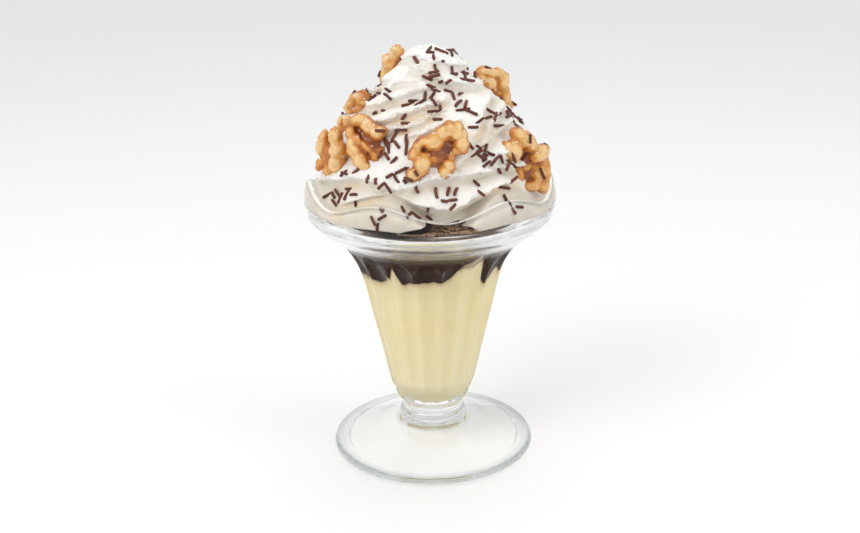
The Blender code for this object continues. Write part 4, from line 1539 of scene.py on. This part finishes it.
@dataclass
class Sprinkles:
    """Chocolate strands lying on the cream and the walnuts."""

    cream: WhippedCream
    diameter: float = 1.34
    length: Pair = (2.3, 7.2)
    usual: float = 3.9
    bends: tuple[float, ...] = (0.0, 0.0, 0.0, 0.0, 0.0, 0.016)
    girth: Pair = (0.92, 0.16)
    taper: float = 0.84
    tilt: float = 0.24
    resting: float = 0.28
    slope: float = 0.55
    highest: float = 186.45
    spacing: float = 2.9
    tries: int = 6
    sowings: tuple[Sowing, ...] = tuple(Sowing(*row) for row in (
        (-8.0, 183.5, 50.0, 2.5, 4), (60.0, 182.0, 50.0, 3.0, 5), (8.0, 175.7, 18.0, 3.2, 5),
        (35.0, 175.8, 12.0, 2.0, 2), (70.0, 172.4, 22.0, 3.0, 4), (8.0, 168.9, 11.0, 3.4, 5),
        (27.0, 170.4, 13.0, 2.6, 4), (-80.0, 167.5, 15.0, 3.0, 4), (-50.0, 168.6, 11.0, 2.0, 3),
        (-48.0, 162.1, 10.0, 2.0, 2), (-20.0, 166.2, 13.0, 1.5, 3), (-19.0, 159.2, 6.0, 3.3, 3),
        (10.0, 162.3, 8.0, 2.2, 3), (32.0, 163.8, 8.0, 2.6, 4), (29.0, 157.8, 7.0, 2.0, 2),
        (53.0, 157.7, 11.0, 3.4, 5), (83.0, 154.5, 15.0, 3.4, 8), (-28.0, 153.7, 5.0, 2.4, 4),
        (-15.0, 152.3, 6.0, 1.8, 3), (-23.0, 147.7, 6.0, 2.6, 4), (28.0, 147.9, 5.0, 3.3, 3),
        (35.0, 145.2, 8.0, 4.6, 10), (43.0, 141.6, 6.0, 3.4, 4), (37.0, 135.3, 9.0, 2.4, 2),
        (-43.0, 138.9, 7.0, 1.8, 3), (-30.0, 135.4, 6.0, 2.4, 2), (-20.0, 137.5, 5.0, 3.3, 4),
        (-12.0, 140.5, 6.0, 2.6, 4), (-7.0, 137.4, 5.0, 1.6, 2), (-55.0, 127.9, 8.0, 2.7, 5),
        (-44.0, 129.8, 7.0, 3.4, 4), (9.0, 133.2, 7.0, 3.0, 5), (24.0, 133.5, 3.0, 3.3, 2),
        (12.0, 127.6, 3.0, 2.4, 1), (-23.0, 124.2, 3.5, 4.8, 4), (-9.0, 127.5, 5.0, 2.4, 3),
        (-3.0, 126.7, 4.0, 2.0, 2), (40.0, 125.2, 5.0, 3.7, 3), (60.0, 140.0, 14.0, 8.0, 4),
        (115.0, 148.0, 34.0, 20.0, 30), (180.0, 148.0, 34.0, 20.0, 36), (-115.0, 148.0, 34.0, 20.0, 30),
        (180.0, 174.0, 90.0, 8.0, 22)))
    finish: SprinkleFinish = field(default_factory=SprinkleFinish)

    def strand(self) -> bpy.types.Mesh:
        """Model one strand of unit length along X, with rounded ends."""
        bpy.ops.object.select_all(action="DESELECT")
        bpy.ops.mesh.primitive_cylinder_add(vertices=8, radius=0.5 * self.diameter * MM, depth=1.0,
                                            rotation=(0.0, math.pi / 2, 0.0))
        strand = bpy.context.object
        bpy.ops.object.transform_apply(location=True, rotation=True, scale=True)
        bpy.ops.object.mode_set(mode="EDIT")
        bpy.ops.mesh.select_all(action="DESELECT")
        shape = bmesh.from_edit_mesh(strand.data)
        for edge in shape.edges:
            edge.select = abs(edge.verts[0].co.x - edge.verts[1].co.x) > 0.5
        bmesh.update_edit_mesh(strand.data)
        bpy.ops.mesh.subdivide(number_cuts=5)
        bpy.ops.object.mode_set(mode="OBJECT")
        return mesh_alone(strand)

    def laid(self, dice: random.Random, target: BVHTree, patch: Sowing) -> Optional[Matrix]:
        """Find a resting place for one strand.

        Args:
            dice: Source of chance, seeded.
            target: Surfaces that the strands fall on.
            patch: Patch that the strand belongs to.

        Returns:
            The strand's place, with its length along X, or None if nothing lies there.
        """
        reach = math.sqrt(dice.random())
        way = dice.uniform(0.0, math.tau)
        bearing = math.radians(patch.bearing + reach * math.cos(way) * patch.wide)
        height = patch.height + reach * math.sin(way) * patch.tall
        radius = float(self.cream.radius(np.array([min(height, 186.0)]))[0]) * MM
        out = Vector((math.sin(bearing), -math.cos(bearing), self.slope)).normalized()
        near = Vector((math.sin(bearing) * radius, -math.cos(bearing) * radius, height * MM))
        start = near + out * 60.0 * MM
        spot, normal, _, _ = target.ray_cast(start, -out)
        if spot is None:
            return None
        around = Vector((0.0, 0.0, 1.0)).cross(normal)
        if around.length < 0.05:
            around = Vector((1.0, 0.0, 0.0))
        around.normalize()
        up = normal.cross(around)
        turn = dice.uniform(0.0, math.pi)
        flat = around * math.cos(turn) + up * math.sin(turn)
        along = (flat + normal * dice.gauss(0.0, self.tilt)).normalized()
        side = normal.cross(along).normalized()
        rise = along.cross(side)
        place = Matrix.Translation(spot + normal * self.resting * MM)
        return place @ Matrix((along, side, rise)).transposed().to_4x4()

    def roomy(self, dice: random.Random, target: BVHTree, patch: Sowing,
              taken: list[Vector]) -> Optional[Matrix]:
        """Find a place that isn't on top of another strand, though some still cross.

        Args:
            dice: Source of chance, seeded.
            target: Surfaces that the strands fall on.
            patch: Patch that the strand belongs to.
            taken: Middles of the strands laid so far; the new one is added.

        Returns:
            The strand's place, or None if nothing lies there.
        """
        place = None
        room = self.spacing * MM
        for _ in range(self.tries):
            place = self.laid(dice, target, patch)
            if place is not None and all((place.translation - spot).length > room for spot in taken):
                break
        if place is not None:
            taken.append(place.translation.copy())
        return place

    def formed(self, unit: np.ndarray, place: Matrix, length: float, bend: float, shade: float) -> np.ndarray:
        """Shape one strand and lay it in its place.

        Args:
            unit: The strand of unit length, one row for each vertex.
            place: Where it rests, with its length along X.
            length: Its length in metres.
            bend: How far its middle stands off the straight line, in metres.
            shade: How thick it is and how light its brown, from 0 to 1.

        Returns:
            Its vertices in metres.
        """
        local = unit.copy()
        local[:, 1] *= self.girth[0] + self.girth[1] * shade
        end = np.abs(local[:, 0]) * 2.0
        taper = np.where(end > 0.98, self.taper, 1.0)
        local[:, 1] = local[:, 1] * taper + bend * (1.0 - end ** 2) * 4.0
        local[:, 2] *= taper
        local[:, 0] *= length
        turned = local @ np.array(place.to_3x3()).T + np.array(place.translation)
        turned[:, 2] -= max(0.0, turned[:, 2].max() - self.highest * MM)
        return turned

    def build(self, ground: Sequence[bpy.types.Object]) -> bpy.types.Object:
        """Scatter the strands and join them into one piece.

        Args:
            ground: Pieces that the strands lie on.

        Returns:
            The joined strands.
        """
        soup = bmesh.new()
        for piece in ground:
            soup.from_mesh(piece.data)
        target = BVHTree.FromBMesh(soup)
        soup.free()
        strand = self.strand()
        unit = rows_of(strand)
        faces = [tuple(face.vertices) for face in strand.polygons]
        dice = random.Random(20)
        strands: list[np.ndarray] = []
        all_faces: list[tuple[int, ...]] = []
        shades: list[float] = []
        taken: list[Vector] = []
        for patch in self.sowings:
            for _ in range(patch.count):
                place = self.roomy(dice, target, patch, taken)
                length = dice.triangular(*self.length, self.usual) * MM
                bend = dice.choice(self.bends) * length
                shade = dice.random()
                if place is None:
                    continue
                base = len(unit) * len(strands)
                strands.append(self.formed(unit, place, length, bend, shade))
                all_faces += [tuple(base + index for index in face) for face in faces]
                shades.append(shade)
        sprinkles = joined("chocolate_sprinkles", np.concatenate(strands), all_faces)
        store(sprinkles, "shade", np.repeat(shades, len(unit)))
        dress(sprinkles, self.finish.material(), [])
        bpy.data.meshes.remove(strand)
        return sprinkles


# ---------- Studio ----------


@dataclass(frozen=True)
class Softbox:
    """One soft light that points at the sundae: its place and size in metres and its power in watts."""

    name: str
    place: Triple
    size: Pair
    power: float
    aim: Triple = (0.0, 0.0, 0.10)

    def hang(self) -> None:
        """Hang the light in the room."""
        lamp = bpy.data.lights.new(self.name, "AREA")
        lamp.shape = "RECTANGLE"
        lamp.size, lamp.size_y = self.size
        lamp.energy = self.power
        light = bpy.data.objects.new(self.name, lamp)
        aim = Vector(self.aim) - Vector(self.place)
        turn = aim.to_track_quat("-Z", "Y").to_matrix().to_4x4()
        light.matrix_world = Matrix.Translation(self.place) @ turn
        bpy.context.scene.collection.objects.link(light)


@dataclass
class Studio:
    """Pale table, soft lights and the camera."""

    camera_place: Triple = (0.0, -513.3, 267.9)
    pitch: float = 19.53
    roll: float = -0.80
    lens: float = 50.4
    shift: float = -0.0011
    bounces: int = 24
    side_light: float = 0.56
    sky_light: float = 0.84
    sky_from: float = 0.7
    table_size: float = 6.0
    table_level: float = -0.0002
    lights: tuple[Softbox, ...] = (
        Softbox("key_softbox", (-0.55, -0.45, 0.75), (0.45, 0.45), 2.6),
        Softbox("top_softbox", (0.1, 0.25, 0.95), (0.8, 0.8), 1.2),
        Softbox("side_softbox", (0.75, -0.25, 0.45), (0.25, 0.7), 1.15),
        Softbox("left_strip", (-0.62, -0.62, 0.16), (0.02, 0.60), 0.16),
        Softbox("right_strip", (0.62, -0.62, 0.16), (0.02, 0.60), 0.20))
    finish: TableFinish = field(default_factory=TableFinish)

    def lay_table(self) -> None:
        """Lay the table, which isn't part of the sundae."""
        bpy.ops.object.select_all(action="DESELECT")
        bpy.ops.mesh.primitive_plane_add(size=self.table_size, location=(0.0, 0.0, self.table_level))
        table = bpy.context.object
        table.name = "studio_table"
        table.data.materials.append(self.finish.material())

    def fill_room(self) -> None:
        """Fill the room with soft light, brighter overhead than at the sides."""
        world = bpy.data.worlds.new("soft_room")
        world.use_nodes = True
        tree = world.node_tree
        place = tree.nodes.new("ShaderNodeTexCoord")
        parts = tree.nodes.new("ShaderNodeSeparateXYZ")
        ramp = tree.nodes.new("ShaderNodeMapRange")
        for socket, value in ((1, 0.0), (2, self.sky_from), (3, self.side_light), (4, self.sky_light)):
            ramp.inputs[socket].default_value = value
        back = tree.nodes["Background"]
        back.inputs["Color"].default_value = (*WHITE, 1.0)
        tree.links.new(place.outputs["Generated"], parts.inputs[0])
        tree.links.new(parts.outputs["Z"], ramp.inputs[0])
        tree.links.new(ramp.outputs[0], back.inputs["Strength"])
        bpy.context.scene.world = world

    def place_camera(self) -> None:
        """Place the camera in front of the sundae, looking slightly down on it."""
        lens = bpy.data.cameras.new("front_camera")
        lens.sensor_width = 36.0
        lens.lens = self.lens
        lens.shift_x = self.shift
        lens.clip_start = 0.01
        camera = bpy.data.objects.new("front_camera", lens)
        down = math.radians(self.pitch)
        forward = Vector((0.0, math.cos(down), -math.sin(down)))
        up = Vector((0.0, math.sin(down), math.cos(down)))
        basis = Matrix((Vector((1.0, 0.0, 0.0)), up, -forward)).transposed().to_4x4()
        place = Matrix.Translation(Vector(self.camera_place) * MM)
        camera.matrix_world = place @ basis @ Matrix.Rotation(math.radians(self.roll), 4, "Z")
        bpy.context.scene.collection.objects.link(camera)
        bpy.context.scene.camera = camera

    def build(self) -> None:
        """Set up the studio."""
        self.lay_table()
        self.fill_room()
        for softbox in self.lights:
            softbox.hang()
        self.place_camera()
        bpy.context.scene.view_settings.view_transform = "Standard"
        self.let_light_through()

    def let_light_through(self) -> None:
        """Let light pass through the many walls of the glass."""
        tracing = bpy.context.scene.cycles
        tracing.max_bounces = self.bounces
        tracing.glossy_bounces = self.bounces
        tracing.transmission_bounces = self.bounces


# ---------- The sundae ----------


def main() -> None:
    """Build the sundae from the glass up, then the studio round it."""
    logging.basicConfig(level=logging.INFO, format="%(message)s")
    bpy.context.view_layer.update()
    glass = SundaeGlass()
    drips = DripLine()
    glass.build()
    VanillaIceCream(glass, drips).build()
    ChocolateSauce(glass, drips).build()
    mound = WhippedCream(glass)
    cream = mound.build()
    walnuts = Walnuts().build()
    CreamCrumbs().build(cream, walnuts)
    Sprinkles(mound).build([cream, *walnuts])
    Studio().build()


if __name__ == "__main__":
    main()
